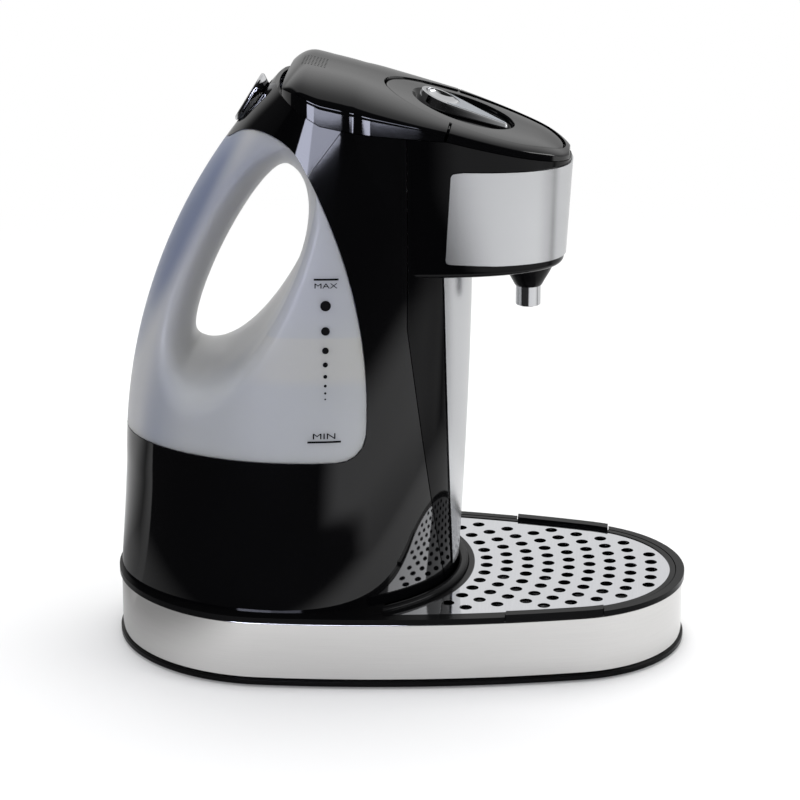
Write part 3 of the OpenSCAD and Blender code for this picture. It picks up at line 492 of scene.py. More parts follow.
def brushed(name, dark, light, rough, stretch, line_mm, bump=0.06):
    """Brushed sheet: fine lines along the brushing, in tone, gloss and relief."""
    material, tree, where = finish(name)
    lay = add(tree, "ShaderNodeMapping", {"Vector": where, "Scale": stretch})
    lines = add(tree, "ShaderNodeTexNoise",
                {"Vector": lay, "Scale": PER_METRE / line_mm, "Detail": 3.0})
    inputs = toned(tree, lines, dark, light, rough)
    inputs["Normal"] = add(tree, "ShaderNodeBump",
                           {"Height": lines, "Strength": bump, "Distance": LINE_DEPTH})
    inputs["Metallic"] = 1.0
    surface(tree, inputs)
    return material


# Brushed stainless sheet, brushed level round the base and the head. The real lines are about
# 0.1 mm apart and are drawn at 0.5 mm so that they show.
LEVEL, ACROSS, UPWARD = (0.02, 0.02, 1.0), (1.0, 0.02, 1.0), (1.0, 1.0, 0.05)
BAND_STEEL = brushed("brushed_stainless_band", "#cfcecd", "#dbdad8", (0.08, 0.14), LEVEL, 0.5, 0.02)
SHEET_STEEL = brushed("brushed_stainless_sheet", "#c2c3c5", "#cfd0d2", (0.2, 0.28), LEVEL, 0.5,
                      0.02)
GRILLE_STEEL = brushed("brushed_stainless_grille", "#c8c9cd", "#d4d5d8", (0.06, 0.1), ACROSS, 0.5,
                       0.02)
# Drawn and polished steel: lines along the drawing
BARE_STEEL = brushed("drawn_steel", "#a9aaac", "#b7b8ba", (0.25, 0.35), UPWARD, 0.6)
POLISHED_STEEL = brushed("polished_steel_tube", "#c2c3c5", "#cfd0d2", (0.05, 0.1), UPWARD, 0.6,
                         0.02)
# Satin anodised aluminium: a soft cool sheen with lines along the insert
INSERT_ALU = brushed("satin_anodised_aluminium", "#b4b9c0", "#bfc4ca", (0.32, 0.42),
                     (0.05, 1.0, 0.05), 0.4)


def frosted_tank():
    """Frosted polypropylene, lit through: milky and warmer at the water line, with painted light
    and shade over it: a cooler tone above the water line, darker and bluer on the grip and the rear
    edge, and lighter on the walls of the grip hole.
    """
    material, tree, where = finish("frosted_polypropylene")
    place = add(tree, "ShaderNodeSeparateXYZ", {"Vector": where}).outputs
    # Clouds about 55 mm across
    cloud = add(tree, "ShaderNodeTexNoise", {"Vector": where, "Scale": 18.0, "Detail": 2.0})
    belt = soft_steps(tree, (place["Z"], 0.155, 0.163, 0.0, 1.0),
                      (place["Z"], 0.1815, 0.183, 1.0, 0.0),
                      (place["X"], -0.09, -0.06, 0.0, 1.0))
    # Painted light: above the water line the tank turns a cooler tone, for how the light falls on
    # its upper part.
    above = soft_steps(tree, (place["Z"], 0.181, 0.2, 0.0, 1.0))
    # Painted shade: the upper grip and the tank's rear edge are drawn darker and bluer.
    high = soft_steps(tree, (place["Z"], 0.15, 0.205, 0.0, 1.0),
                      (place["X"], -0.095, -0.055, 1.0, 0.0))
    rear_edge_shade = soft_steps(tree, (place["X"], -0.145, -0.105, 0.85, 0.0))
    grip = add(tree, "ShaderNodeMath", {0: high, 1: rear_edge_shade}, operation="MAXIMUM")
    # Painted light: the walls of the grip hole's tunnel are drawn lighter, standing in for light
    # that comes through the plastic.
    aside = add(tree, "ShaderNodeVectorMath", {0: where, 1: (HOLE_V[0], 0.0, HOLE_V[1])},
                operation="DOT_PRODUCT")
    middle = (HOLE_C[0] * HOLE_V[0] + HOLE_C[1] * HOLE_V[1]) * MM
    depth = add(tree, "ShaderNodeMath", {0: place["Y"]}, operation="ABSOLUTE")
    tunnel = soft_steps(tree, (aside, middle - 0.032, middle - 0.023, 0.0, 1.0),
                        (depth, 0.028, 0.045, 0.85, 0.0))
    tone = add(tree, "ShaderNodeMix", {"Factor": cloud, 6: linear("#abadaf"), 7: linear("#b5b7b9")},
               data_type="RGBA")
    # Tints over the clouds: the warmer water line, then painted light above it, painted shade on
    # the grip, and painted light in the tunnel.
    for share, tint in ((belt, "#b5b5b2"), (above, "#aeb0b5"), (grip, "#7a8297"),
                        (tunnel, "#bebebd")):
        tone = add(tree, "ShaderNodeMix", {"Factor": share, 6: tone, 7: linear(tint)},
                   data_type="RGBA")
    surface(tree, {"Base Color": tone, "Roughness": 0.32, "IOR": 1.49, "Subsurface Weight": 0.9,
                   "Subsurface Radius": (0.016, 0.016, 0.018), "Subsurface Scale": 1.0})
    return material


TANK_FROST = frosted_tank()


# Camera at the photograph's place
FOCAL_PX, FRAME_PX, SENSOR, DISTANCE = 3406.09, 800, 36.0, 1800.0
ELEVATION, AZIMUTH = math.radians(18.36), math.radians(4.38)
TARGET = Vector((-0.72, 0.0, 130.16)) * MM
back = Vector((math.sin(AZIMUTH) * math.cos(ELEVATION), -math.cos(AZIMUTH) * math.cos(ELEVATION),
               math.sin(ELEVATION)))
lens = bpy.data.cameras.new("camera")
lens.sensor_width = SENSOR
lens.lens = FOCAL_PX / FRAME_PX * SENSOR
lens.clip_end = 50.0
camera = bpy.data.objects.new("camera", lens)
bpy.context.scene.collection.objects.link(camera)
camera.location = TARGET + back * DISTANCE * MM
camera.rotation_euler = back.to_track_quat("Z", "Y").to_euler()
bpy.context.scene.camera = camera


# Stage: a pale floor and soft lamps
def lamp(name, place, aim, size, watts, tint="#ffffff", mirrored=True):
    light = bpy.data.lights.new(name, "AREA")
    light.shape = "RECTANGLE"
    light.size, light.size_y = size
    light.energy = watts
    light.color = linear(tint)[:3]
    holder = bpy.data.objects.new(name, light)
    bpy.context.scene.collection.objects.link(holder)
    holder.location = place
    holder.rotation_euler = (Vector(place) - Vector(aim)).to_track_quat("Z", "Y").to_euler()
    holder.visible_glossy = mirrored


lamp("overhead_box", (0.1, 0.5, 1.7), (0, 0, 0.1), (1.6, 1.2), 21, mirrored=False)
lamp("key_box", (1.75, -0.2, 0.58), (0, 0, 0.12), (1.2, 0.5), 11)
lamp("strip_box", (-0.535, -1.45, 0.29), (-0.535, 0, 0.29), (0.53, 0.16), 4.2, "#e4e8ff")
lamp("strip_end", (-0.05, -1.45, 0.3025), (-0.05, 0, 0.3025), (0.44, 0.135), 1.9, "#e4e8ff")


# Surroundings: white to the camera. Reflections show a bright back wall, a bright right side and a
# dark near side, and matt surfaces get an even light.
EVEN_LIGHT = 0.76
world = bpy.data.worlds.new("studio")
bpy.context.scene.world = world
world.use_nodes = True
sky = world.node_tree
sky.nodes.clear()
path = add(sky, "ShaderNodeLightPath").outputs
toward = add(sky, "ShaderNodeTexCoord").outputs["Generated"]
aim = add(sky, "ShaderNodeSeparateXYZ", {"Vector": toward}).outputs
back_wall = soft_steps(sky, (aim["Z"], 0.16, 0.33, 0.5, 0.95), (aim["Z"], 0.4, 0.95, 1.0, 0.8),
                       (aim["Y"], -0.3, -0.2, 0.02, 1.0), (aim["X"], -0.8, -0.55, 0.05, 1.0))
right_side = soft_steps(sky, (aim["X"], 0.35, 0.8, 0.0, 0.65), (aim["Y"], -0.8, -0.3, 0.0, 1.0))
room_light = add(sky, "ShaderNodeMath", {0: back_wall, 1: right_side}, operation="MAXIMUM")
in_mirror = add(sky, "ShaderNodeMath", {0: path["Is Glossy Ray"], 1: path["Is Transmission Ray"]},
                operation="MAXIMUM")
strength = add(sky, "ShaderNodeMix", {"Factor": in_mirror, 2: EVEN_LIGHT, 3: room_light},
               data_type="FLOAT")
strength = add(sky, "ShaderNodeMix", {"Factor": path["Is Camera Ray"], 2: strength, 3: 1.0},
               data_type="FLOAT")
ground = add(sky, "ShaderNodeBackground", {"Color": linear("#ffffff"), "Strength": strength})
add(sky, "ShaderNodeOutputWorld", {"Surface": ground})

FLOOR_REACH = 6.0


def make_floor():
    """A white table to the camera. To all else its colour is painted light: bright round the base,
    behind, and on a path at the right, and black elsewhere.
    """
    bm = bmesh.new()
    bmesh.ops.create_grid(bm, x_segments=8, y_segments=8, size=FLOOR_REACH)
    floor = new_piece("floor", bm)
    material, tree, place = finish("white_sweep")
    path = add(tree, "ShaderNodeLightPath").outputs
    spot = add(tree, "ShaderNodeSeparateXYZ", {"Vector": place}).outputs
    far = add(tree, "ShaderNodeVectorMath", {0: place}, operation="LENGTH")
    bearing = add(tree, "ShaderNodeMath", {0: spot["Y"], 1: spot["X"]}, operation="ARCTAN2")
    swing = soft_steps(tree, (far, 0.4, 0.6, -0.2, 0.12))
    swung = add(tree, "ShaderNodeMath", {0: bearing, 1: swing}, operation="ADD")
    # Painted light on the floor, unseen by the camera: a path to the right, an oval round the base
    # and a stretch behind.
    lane = soft_steps(tree, (swung, math.radians(-77), math.radians(-62), 0.0, 0.9),
                      (bearing, math.radians(-20), math.radians(-4), 1.0, 0.75),
                      (far, 0.75, 1.2, 1.0, 0.0), (far, 0.3, 0.55, 0.6, 1.0),
                      (spot["Y"], 0.0, 0.1, 1.0, 0.0))
    oval_place = add(tree, "ShaderNodeVectorMath", {0: place, 1: (3.33, 4.35, 0.0)},
                     operation="MULTIPLY")
    oval_far = add(tree, "ShaderNodeVectorMath", {0: oval_place}, operation="LENGTH")
    near = soft_steps(tree, (oval_far, 1.0, 1.5, 0.9, 0.0), (spot["X"], -0.22, -0.1, 0.35, 1.0))
    behind = soft_steps(tree, (spot["Y"], 0.02, 0.2, 0.03, 0.72))
    lit = lane
    for other in (near, behind, path["Is Camera Ray"]):
        lit = add(tree, "ShaderNodeMath", {0: lit, 1: other}, operation="MAXIMUM")
    tone = add(tree, "ShaderNodeMix", {"Factor": lit, 6: linear("#000000"), 7: linear("#ececec")},
               data_type="RGBA")
    board = add(tree, "ShaderNodeBsdfDiffuse", {"Color": tone})
    white = add(tree, "ShaderNodeEmission", {"Color": linear("#ffffff"), "Strength": 1.0})
    glow = soft_steps(tree, (far, 0.4, 0.9, 0.12, 1.0))
    share = add(tree, "ShaderNodeMath", {0: path["Is Camera Ray"], 1: glow}, operation="MULTIPLY")
    both = add(tree, "ShaderNodeMixShader", {0: share, 1: board, 2: white})
    add(tree, "ShaderNodeOutputMaterial", {"Surface": both})
    floor.data.materials.append(material)


make_floor()


# Casings, cut from one fine body of tower and head
TOWER_TOP, HEAD_TOP = 304.0, 292.0
LIP_R, LIP_CROWD = 3.0, 1.8


def tower_solid(inset, z0, z1, around, rows):
    def place(u, v):
        return tower_at(u * TURN, z0 + (z1 - z0) * v, inset)
    return mapped_grid("tower", around, rows, place, cap=True)


def head_solid(inset, z0, z1, around, rows, lip=0.0):
    """The head, with its rows crowded towards the rounded lip below."""
    def place(u, v):
        z = z0 + (z1 - z0) * v ** LIP_CROWD
        short = max(0.0, z0 + lip - z)
        draw = lip - math.sqrt(max(0.0, lip * lip - short * short)) if lip else 0.0
        return head_at(u * TURN, z, inset + draw)
    return mapped_grid("head", around, rows, place, cap=True)


body = tower_solid(0, Z_DECK, TOWER_TOP, 216, 108)
carve(body, head_solid(0, HEAD_Z, HEAD_TOP, 200, 56, LIP_R), "UNION")
room = tower_solid(WALL, Z_DECK - 1, TOWER_TOP + 1, 96, 40)
carve(room, head_solid(WALL, HEAD_Z + WALL, HEAD_TOP + 1, 96, 12), "UNION")


def shell(name, *cuts):
    """A copy of the body without what the side views cut away."""
    piece = copy_of(body, name)
    for outline in cuts:
        carve(piece, side_cut(outline))
    return piece


rear = shell("rear_shell", part_outline(0.0, 1), over_seam(SEAM_GAP), tank_outline(-SEAM_GAP))
collar_room = side_cut(collar_outline(-SEAM_GAP))
carve(collar_room, side_cut(tank_outline(COLLAR_LAP)))
carve(rear, collar_room)
carve(rear, copy_of(room, "room"))
dress(rear, "body", GLOSS_BLACK, "gloss_black", "rear_casing", bevel=0.35, angle=58, crease=12)

front = shell("front_shell", part_outline(SEAM_GAP, -1), over_seam(SEAM_GAP))
carve(front, copy_of(room, "room"))
spout_bore = circle((SPOUT_X, 0), SPOUT_D / 2 + SEAM_GAP, 48)
carve(front, prism("bore", spout_bore, HEAD_Z - 2, HEAD_Z + 6))
# The front casing wears the darker copy of the plastic, as painted shade.
dress(front, "body", SHADED_BLACK, "gloss_black", "front_casing", bevel=0.35, angle=58, crease=12)

BUTTON_L, BUTTON_W, BUTTON_GAP = 28.0, 15.0, 0.8
SLOT_LOW, SLOT_HIGH = -9.0, 12.0


def button_frame():
    turn = Matrix.Rotation(-BUTTON_TILT, 4, "Y")
    return Matrix.Translation(Vector((tower_rear(BUTTON_Z), 0, BUTTON_Z)) * MM) @ turn


def pill(length, width, n=20):
    reach = (length - width) / 2
    return (arc((reach, 0), width / 2, -math.pi / 2, math.pi / 2, n)
            + arc((-reach, 0), width / 2, math.pi / 2, 1.5 * math.pi, n))


collar = copy_of(body, "grip_collar")
carve(collar, side_cut(collar_outline(0.0)), "INTERSECT")
carve(collar, side_cut(over_seam(SEAM_GAP)))
carve(collar, side_cut(tank_outline(-SEAM_GAP)))
carve(collar, copy_of(room, "room"))
slot_cut = prism("slot", pill(BUTTON_L + BUTTON_GAP, BUTTON_W + BUTTON_GAP), SLOT_LOW, SLOT_HIGH)
slot_cut.data.transform(button_frame())
carve(collar, slot_cut)
dress(collar, "body", GLOSS_BLACK, "gloss_black", "tank_collar", bevel=0.35)
for done in (body, room):
    bpy.data.objects.remove(done)


# Tank: one closed surface, from the grip hole over the near side, across and back on the far side
def hole_point(a, y=0.0):
    """Outline of the grip hole at a distance y from the middle of the tank."""
    c, d = math.cos(a), math.sin(a)
    s = (HOLE_L / 2 + (FLARE_TOP if c > 0 else FLARE_FOOT) * y * y) * c
    w = (HOLE_FRONT + FLARE_FRONT * y * y if d > 0 else HOLE_BACK + FLARE_BACK * y * y) * d
    return HOLE_C[0] + s * HOLE_U[0] + w * HOLE_V[0], HOLE_C[1] + s * HOLE_U[1] + w * HOLE_V[1]


TANK_EDGE, TANK_LIMIT = tank_outline(0.0), 300.0


def in_tank(x, z):
    """True inside the tank's side view."""
    if not TANK_Z <= z < TANK_LIMIT or x < tower_rear(z):
        return False
    inside = False
    for (x0, z0), (x1, z1) in zip(TANK_EDGE, TANK_EDGE[1:] + TANK_EDGE[:1]):
        if (z0 > z) != (z1 > z) and x < x0 + (x1 - x0) * (z - z0) / (z1 - z0):
            inside = not inside
    return inside


def furthest(good, high):
    """Largest value up to high for which good holds, when it holds from zero up."""
    low = 0.0
    for _ in range(36):
        mid = (low + high) / 2
        if good(mid):
            low = mid
        else:
            high = mid
    return low


AROUND, TUNNEL, BEND, OUTER, THROUGH = 288, 18, 10, 40, 4
SIDE_ROWS = TUNNEL + BEND + OUTER
# Rounding of the tunnel's mouth, more at its foot, and the largest share of the skin that it takes
MOUTH_R, MOUTH_FOOT_R, MOUTH_SHARE = 5.0, 5.0, 0.6
# Limits of the search for the mouth and for the edge of the skin
MOUTH_FAR, SKIN_FAR = 75.0, 260.0


def tank_row(a):
    """Points on the near side at angle a: along the tunnel, round its mouth and to the edge."""
    mouth_y = furthest(lambda y: y < tower_side(*hole_point(a, y)), MOUTH_FAR)
    mx, mz = hole_point(a, mouth_y)
    dx, dz = mx - HOLE_C[0], mz - HOLE_C[1]
    size = math.hypot(dx, dz)
    dx, dz = dx / size, dz / size
    reach = furthest(lambda d: in_tank(mx + dx * d, mz + dz * d), SKIN_FAR)
    soft = min(MOUTH_R + MOUTH_FOOT_R * max(0.0, -math.cos(a)), MOUTH_SHARE * reach)

    def wall(y):
        x, z = hole_point(a, y)
        return Vector((x, -y, z))

    def skin(d):
        x, z = mx + dx * d, mz + dz * d
        return Vector((x, -tower_side(x, z), z))
    start, corner, stop = wall(mouth_y - soft), wall(mouth_y), skin(soft)
    points = [wall((mouth_y - soft) * k / TUNNEL) for k in range(TUNNEL)]
    for k in range(BEND):
        t = k / BEND
        points.append(start * (1 - t) ** 2 + corner * 2 * t * (1 - t) + stop * t * t)
    return points + [skin(soft + (reach - soft) * math.sin(math.pi / 2 * k / OUTER))
                     for k in range(OUTER + 1)]


TANK_ROWS = [tank_row(TURN * i / AROUND) for i in range(AROUND)]


def tank_place(u, v):
    row = TANK_ROWS[round(u * AROUND) % AROUND]
    rows = 2 * SIDE_ROWS + THROUGH
    j = round(v * rows) % rows
    if j <= SIDE_ROWS:
        return row[j]
    if j >= SIDE_ROWS + THROUGH:
        x, y, z = row[rows - j]
        return x, -y, z
    x, y, z = row[SIDE_ROWS]
    return x, y * (1 - 2 * (j - SIDE_ROWS) / THROUGH), z


tank = mapped_grid("tank_body", AROUND, 2 * SIDE_ROWS + THROUGH, tank_place)
dress(tank, "body", TANK_FROST, "tank_plastic", "tank", angle=40)

# Chamber behind the tank's skin, ahead of the grip hole: side views of its outside and its inside
CHAMBER_IN, CHAMBER_T, CHAMBER_LOW, CHAMBER_TOP = 3.0, 2.2, 112.0, 272.0
CHAMBER_OUTSIDE = [(-50, TANK_Z), (2, TANK_Z), (2, 266), (-34.9, 266), (-37.5, 247), (-38.5, 232),
                   (-41, 210), (-46, 190), (-50, 170)]
CHAMBER_INSIDE = [(-47.8, 119.9), (-0.2, 119.9), (-0.2, 272), (-32.7, 272), (-32.7, 262),
                  (-35.3, 246), (-36.3, 232), (-38.8, 210), (-43.8, 190), (-47.8, 170)]
chamber = tower_solid(CHAMBER_IN, CHAMBER_LOW, CHAMBER_TOP, 96, 20)
carve(chamber, side_cut(CHAMBER_OUTSIDE), "INTERSECT")
hollow = tower_solid(CHAMBER_IN + CHAMBER_T, CHAMBER_LOW, CHAMBER_TOP + 4, 96, 20)
carve(hollow, side_cut(CHAMBER_INSIDE), "INTERSECT")
carve(chamber, hollow)
chamber.name = "tank_chamber"
dress(chamber, "body", TANK_FROST, "tank_plastic", bevel=0.3)


# Sloping top. Round the dome, shares of the way end the climb, the arch and the fall.
CLIMB_END, ARCH_END, FALL_END = 0.1, 0.8, 0.9


def dome(inset, drop, foot, x0, x1, nx, na):
    """A closed body under the top: up one skirt, over the arch, down the other and back below."""
    def place(u, v):
        x = x0 + (x1 - x0) * (1 - math.cos(math.pi * v)) / 2
        zs = seam_z(x)
        half = max(LEAST_HALF, body_side(x, zs) - inset)
        rise = max(LEAST_RISE, top_line(x) - zs - drop)
        tall = SKIRT * rise
        narrow = max(LEAST_RISE, half - SKIRT_LEAN * tall)
        if u > FALL_END:
            return x, half * (2 * (u - FALL_END) / CLIMB_END - 1), zs - foot
        if u <= CLIMB_END or u >= ARCH_END:
            up = (u if u <= CLIMB_END else FALL_END - u) / CLIMB_END
            y = half + (narrow - half) * up
            return x, y if u < 0.5 else -y, zs - foot + (tall + foot) * up
        p, a = 2 / ARCH_POWER, math.pi * (u - CLIMB_END) / (ARCH_END - CLIMB_END)
        z = zs + tall + (rise - tall) * max(0.0, math.sin(a)) ** p
        return x, narrow * power(math.cos(a), p), z
    return mapped_grid("dome", na, nx, place, cap=True)


def oval(inset, n=120):
    return [(OVAL_X + (OVAL_A - inset) * math.cos(TURN * i / n),
             (OVAL_B - inset) * math.sin(TURN * i / n))
            for i in range(n)]


LID_REAR, COVER_NOSE, ROOM_NOSE, SKIN, DEEP = -57.8, 86.8, 84.0, 2.2, 40
HINGE_Z, HINGE_R, ARM_REACH, SPLIT_REACH = 287.6, 1.9, 5, 90
LID_EYE_Y, LID_EYE_W, COVER_EYE_Y, COVER_EYE_W = 39.3, 2.6, 42.5, 3.0


def split_outline(side, gap):
    """Side view of what the leaning split takes away ahead of it or behind it."""
    along, across = (math.sin(SLOPE), math.cos(SLOPE)), (math.cos(SLOPE), -math.sin(SLOPE))
    x, z = SPLIT_X + gap * across[0], HINGE_Z + gap * across[1]
    dx, dz = SPLIT_REACH * along[0], SPLIT_REACH * along[1]
    return [(x - dx, z - dz), (x + dx, z + dz), (side * FAR, z + dz), (side * FAR, z - dz)]


def rods(name, places, radius, length, turn, segments=24):
    """Straight round rods at several places, turned the same way."""
    bm = bmesh.new()
    for place in places:
        bmesh.ops.create_cone(bm, cap_ends=True, segments=segments, radius1=radius * MM,
                              radius2=radius * MM, depth=length * MM,
                              matrix=Matrix.Translation(Vector(place) * MM) @ turn)
    return new_piece(name, bm, clean=False)


def block(name, x0, x1, y0, y1, z0, z1):
    return prism(name, [(x0, y0), (x1, y0), (x1, y1), (x0, y1)], z0, z1)


def inside_top(piece):
    """Keeps what lies under the skin of the top."""
    return carve(piece, dome(SKIN, SKIN, DEEP, LID_REAR + 1, ROOM_NOSE, 60, 60), "INTERSECT")


def hinge_leaf(piece, y, width, reach):
    """Adds a pair of hinge eyes, each on an arm that reaches back into its piece."""
    x0, x1 = sorted((SPLIT_X, SPLIT_X + reach))
    for side in (-1, 1):
        arm = block("arm", x0, x1, side * y - width / 2, side * y + width / 2, HINGE_Z - 1,
                    HINGE_Z + 0.8)
        carve(piece, inside_top(arm), "UNION")
    eyes = [(SPLIT_X, side * y, HINGE_Z) for side in (-1, 1)]
    carve(piece, inside_top(rods("eyes", eyes, HINGE_R, width, ALONG_Y)), "UNION")


ALONG_Y = Matrix.Rotation(math.pi / 2, 4, "X")
ALONG_X = Matrix.Rotation(math.pi / 2, 4, "Y")
UPRIGHT = Matrix.Identity(4)
UNDER_TOP, OVER_TOP = 240.0, 330.0
top = dome(0, 0, 0, LID_REAR, COVER_NOSE, 150, 140)
carve(top, dome(WALL, WALL, 1, LID_REAR + WALL, ROOM_NOSE, 60, 60))
carve(top, prism("oval", oval(-OVAL_GAP), UNDER_TOP, OVER_TOP))

lid = copy_of(top, "lid_shell")
carve(lid, side_cut(split_outline(1, -SLIT_W / 2)))
PLUG_X0, PLUG_X1, PLUG_Y, PLUG_LOW, PLUG_T = -33.0, -11.4, 34.0, 274.0, 3
plug = block("plug", PLUG_X0, PLUG_X1, -PLUG_Y, PLUG_Y, PLUG_LOW, OVER_TOP)
carve(plug, block("plug_room", PLUG_X0 + PLUG_T, PLUG_X1 - PLUG_T, PLUG_T - PLUG_Y, PLUG_Y - PLUG_T,
                  PLUG_LOW - 4, OVER_TOP + 2))
carve(plug, dome(WALL / 2, WALL / 2, DEEP, LID_REAR + 1, ROOM_NOSE, 40, 40), "INTERSECT")
carve(lid, plug, "UNION")
VENT_X, VENT_Y, VENT_Z, VENT_R, VENT_STEP_X, VENT_STEP_Y = -50.2, -9, 310.0, 0.5, 1.64, 3.0
vents = [(VENT_X + VENT_STEP_X * i, VENT_Y + VENT_STEP_Y * j, VENT_Z)
         for i in range(8) for j in range(7)]
carve(lid, rods("vents", vents, VENT_R, DEEP, UPRIGHT, 12))
hinge_leaf(lid, LID_EYE_Y, LID_EYE_W, -ARM_REACH)
dress(lid, "lid", GLOSS_BLACK, "gloss_black", "lid", bevel=0.6, segments=3)

cover = top
cover.name = "nose_cover"
carve(cover, side_cut(split_outline(-1, SLIT_W / 2)))
hinge_leaf(cover, COVER_EYE_Y, COVER_EYE_W, ARM_REACH)
dress(cover, "body", GLOSS_BLACK, "gloss_black", "front_cover", bevel=0.9, segments=3)


# Dial panel: a dished oval plate that follows the top
DISH_R, STEP_R, DISH_DEPTH = 25.0, 26.4, 4.3
DIAL_ROUND, DIAL_DROP, DIAL_T = 1.2, 0.8, 5.4
DIAL_ROWS = ([("dish", r) for r in (0.0, 5.0, 10.0, 15.0, 20.0, 24.0, 25.0)]
             + [("step", t) for t in (0.2, 0.5, 0.8, 1.0)]
             + [("plate", t) for t in (0.05, 0.15, 0.3, 0.45, 0.6, 0.75, 0.88, 0.96)]
             + [("edge", t) for t in (0.0, 0.25, 0.5, 0.75, 1.0)]
             + [("under", t) for t in (1.0, 0.5, 0.0)])


def dial_edge(a):
    """Distance from the knob's axis to the oval panel's edge."""
    def within(r):
        x, y = KNOB_X + r * math.cos(a) - OVAL_X, r * math.sin(a)
        return (x / OVAL_A) ** 2 + (y / OVAL_B) ** 2 < 1
    return furthest(within, 90.0)


def dial_place(u, v):
    a = TURN * u
    kind, t = DIAL_ROWS[round(v * (len(DIAL_ROWS) - 1))]
    rim = dial_edge(a)
    r = {"dish": t, "step": DISH_R + (STEP_R - DISH_R) * t,
         "plate": STEP_R + (rim - DIAL_ROUND - STEP_R) * t,
         "edge": rim - DIAL_ROUND * (1 - math.sin(t * math.pi / 2)), "under": rim * t}[kind]
    x, y = KNOB_X + r * math.cos(a), r * math.sin(a)
    plate = dome_z(x, y) - DIAL_DROP
    floor = KNOB_Z - TOP_FALL * (x - KNOB_X) - DISH_DEPTH
    z = {"dish": floor, "step": floor + (plate - floor) * t * t * (3 - 2 * t), "plate": plate,
         "edge": plate - DIAL_ROUND * (1 - math.cos(t * math.pi / 2)),
         "under": plate - DIAL_T}[kind]
    return x, y, z


panel = mapped_grid("dial_plate", 180, len(DIAL_ROWS) - 1, dial_place)
dress(panel, "body", GLOSS_BLACK, "gloss_black", "dial_panel")


# Knob: a chromed teardrop with a bowl behind and a satin insert in front
KNOB_R, TIP_R, TIP_X, KNOB_SUNK = 12.5, 2.6, 22.0, 2.0
KNOB_TALL, KNOB_FALL, KNOB_FOOT = 4.7, 0.085, 1.0
BOWL_R, BOWL_FLAT, BOWL_Z = 9.2, 0.5, 4.1
INSERT_IN, INSERT_R, INSERT_TURN, INSERT_SUNK, INSERT_T = 1.7, 9.5, math.radians(62), 0.05, 0.25
TEAR_TURN = math.acos((KNOB_R - TIP_R) / (TIP_X + KNOB_R))
# Rows of the wall by inset and height, which is in millimetres below zero and a share of the knob's
# full height above it
KNOB_WALL = [(0.6, -1.8), (0.1, -1.5), (0.0, -1.0), (0.12, 0.1), (0.42, 0.35), (0.74, 0.62),
             (1.0, 0.84), (1.18, 0.96), (1.45, 1.0)]


def slope_frame():
    seat = Matrix.Translation(Vector((KNOB_X, 0, KNOB_Z - KNOB_SUNK)) * MM)
    return seat @ Matrix.Rotation(SLOPE, 4, "Y")


def teardrop(inset, n=72):
    return (arc((-KNOB_R, 0), KNOB_R - inset, TEAR_TURN, TURN - TEAR_TURN, n)
            + arc((TIP_X, 0), max(0.2, TIP_R - inset), -TEAR_TURN, TEAR_TURN, n // 3))


def knob_height(x):
    return KNOB_TALL - KNOB_FALL * (x + 2 * KNOB_R)


TEAR_N = len(teardrop(0))


def knob_place(u, v):
    inset, lift = KNOB_WALL[round(v * (len(KNOB_WALL) - 1))]
    x, y = teardrop(inset)[round(u * TEAR_N) % TEAR_N]
    return x, y, lift if lift < 0 else -KNOB_FOOT + (knob_height(x) + KNOB_FOOT) * lift


def make_knob():
    piece = mapped_grid("dial_knob", TEAR_N, len(KNOB_WALL) - 1, knob_place, cap=True)
    bm = bmesh.new()
    bmesh.ops.create_uvsphere(bm, u_segments=64, v_segments=40, radius=BOWL_R * MM)
    bmesh.ops.scale(bm, vec=(1, 1, BOWL_FLAT), verts=bm.verts)
    bmesh.ops.translate(bm, vec=Vector((-KNOB_R, 0, BOWL_Z)) * MM, verts=bm.verts)
    carve(piece, new_piece("bowl", bm))
    piece.data.transform(slope_frame())
    return dress(piece, "knob", CHROME, "chrome", "knob", bevel=0.25, segments=3)


def insert_outline():
    """Outline of the insert: along both flanks to the tip, and round the bowl's rim."""
    r = KNOB_R - INSERT_IN
    x, y = r * math.cos(TEAR_TURN) - KNOB_R, r * math.sin(TEAR_TURN)
    return ([(x, -y)] + arc((TIP_X, 0), TIP_R - INSERT_IN, -TEAR_TURN, TEAR_TURN, 24) + [(x, y)]
            + arc((-KNOB_R, 0), INSERT_R, INSERT_TURN, -INSERT_TURN, 18))


def make_insert():
    bm = bmesh.new()
    flat_face(bm, [(x, y, knob_height(x) - INSERT_SUNK) for x, y in insert_outline()])
    grow(bm, (0, 0, INSERT_T))
    piece = new_piece("dial_insert", bm)
    piece.data.transform(slope_frame())
    return dress(piece, "knob", INSERT_ALU, "aluminium", "knob_insert", bevel=0.08)


make_knob()
make_insert()


# Release button on the rear slope, in rows by inset and depth below its leaning face, over a
# narrower foot
BUTTON_FOOT, BUTTON_TALL, BUTTON_RISE = -0.7, 4.1, 0.151
BUTTON_ROWS = [(2.2, None), (0.0, -1.6), (0.15, -0.8), (0.6, -0.25), (1.3, 0.0)]


def make_button():
    n = len(pill(BUTTON_L, BUTTON_W))

    def place(u, v):
        inset, down = BUTTON_ROWS[round(v * (len(BUTTON_ROWS) - 1))]
        x, y = pill(BUTTON_L - 2 * inset, BUTTON_W - 2 * inset)[round(u * n) % n]
        return x, y, BUTTON_FOOT if down is None else BUTTON_TALL + BUTTON_RISE * x + down
    piece = mapped_grid("release_pill", n, len(BUTTON_ROWS) - 1, place, cap=True)
    piece.data.transform(button_frame())
    return dress(piece, "button", CHROME, "chrome", "release_button", angle=50)


make_button()


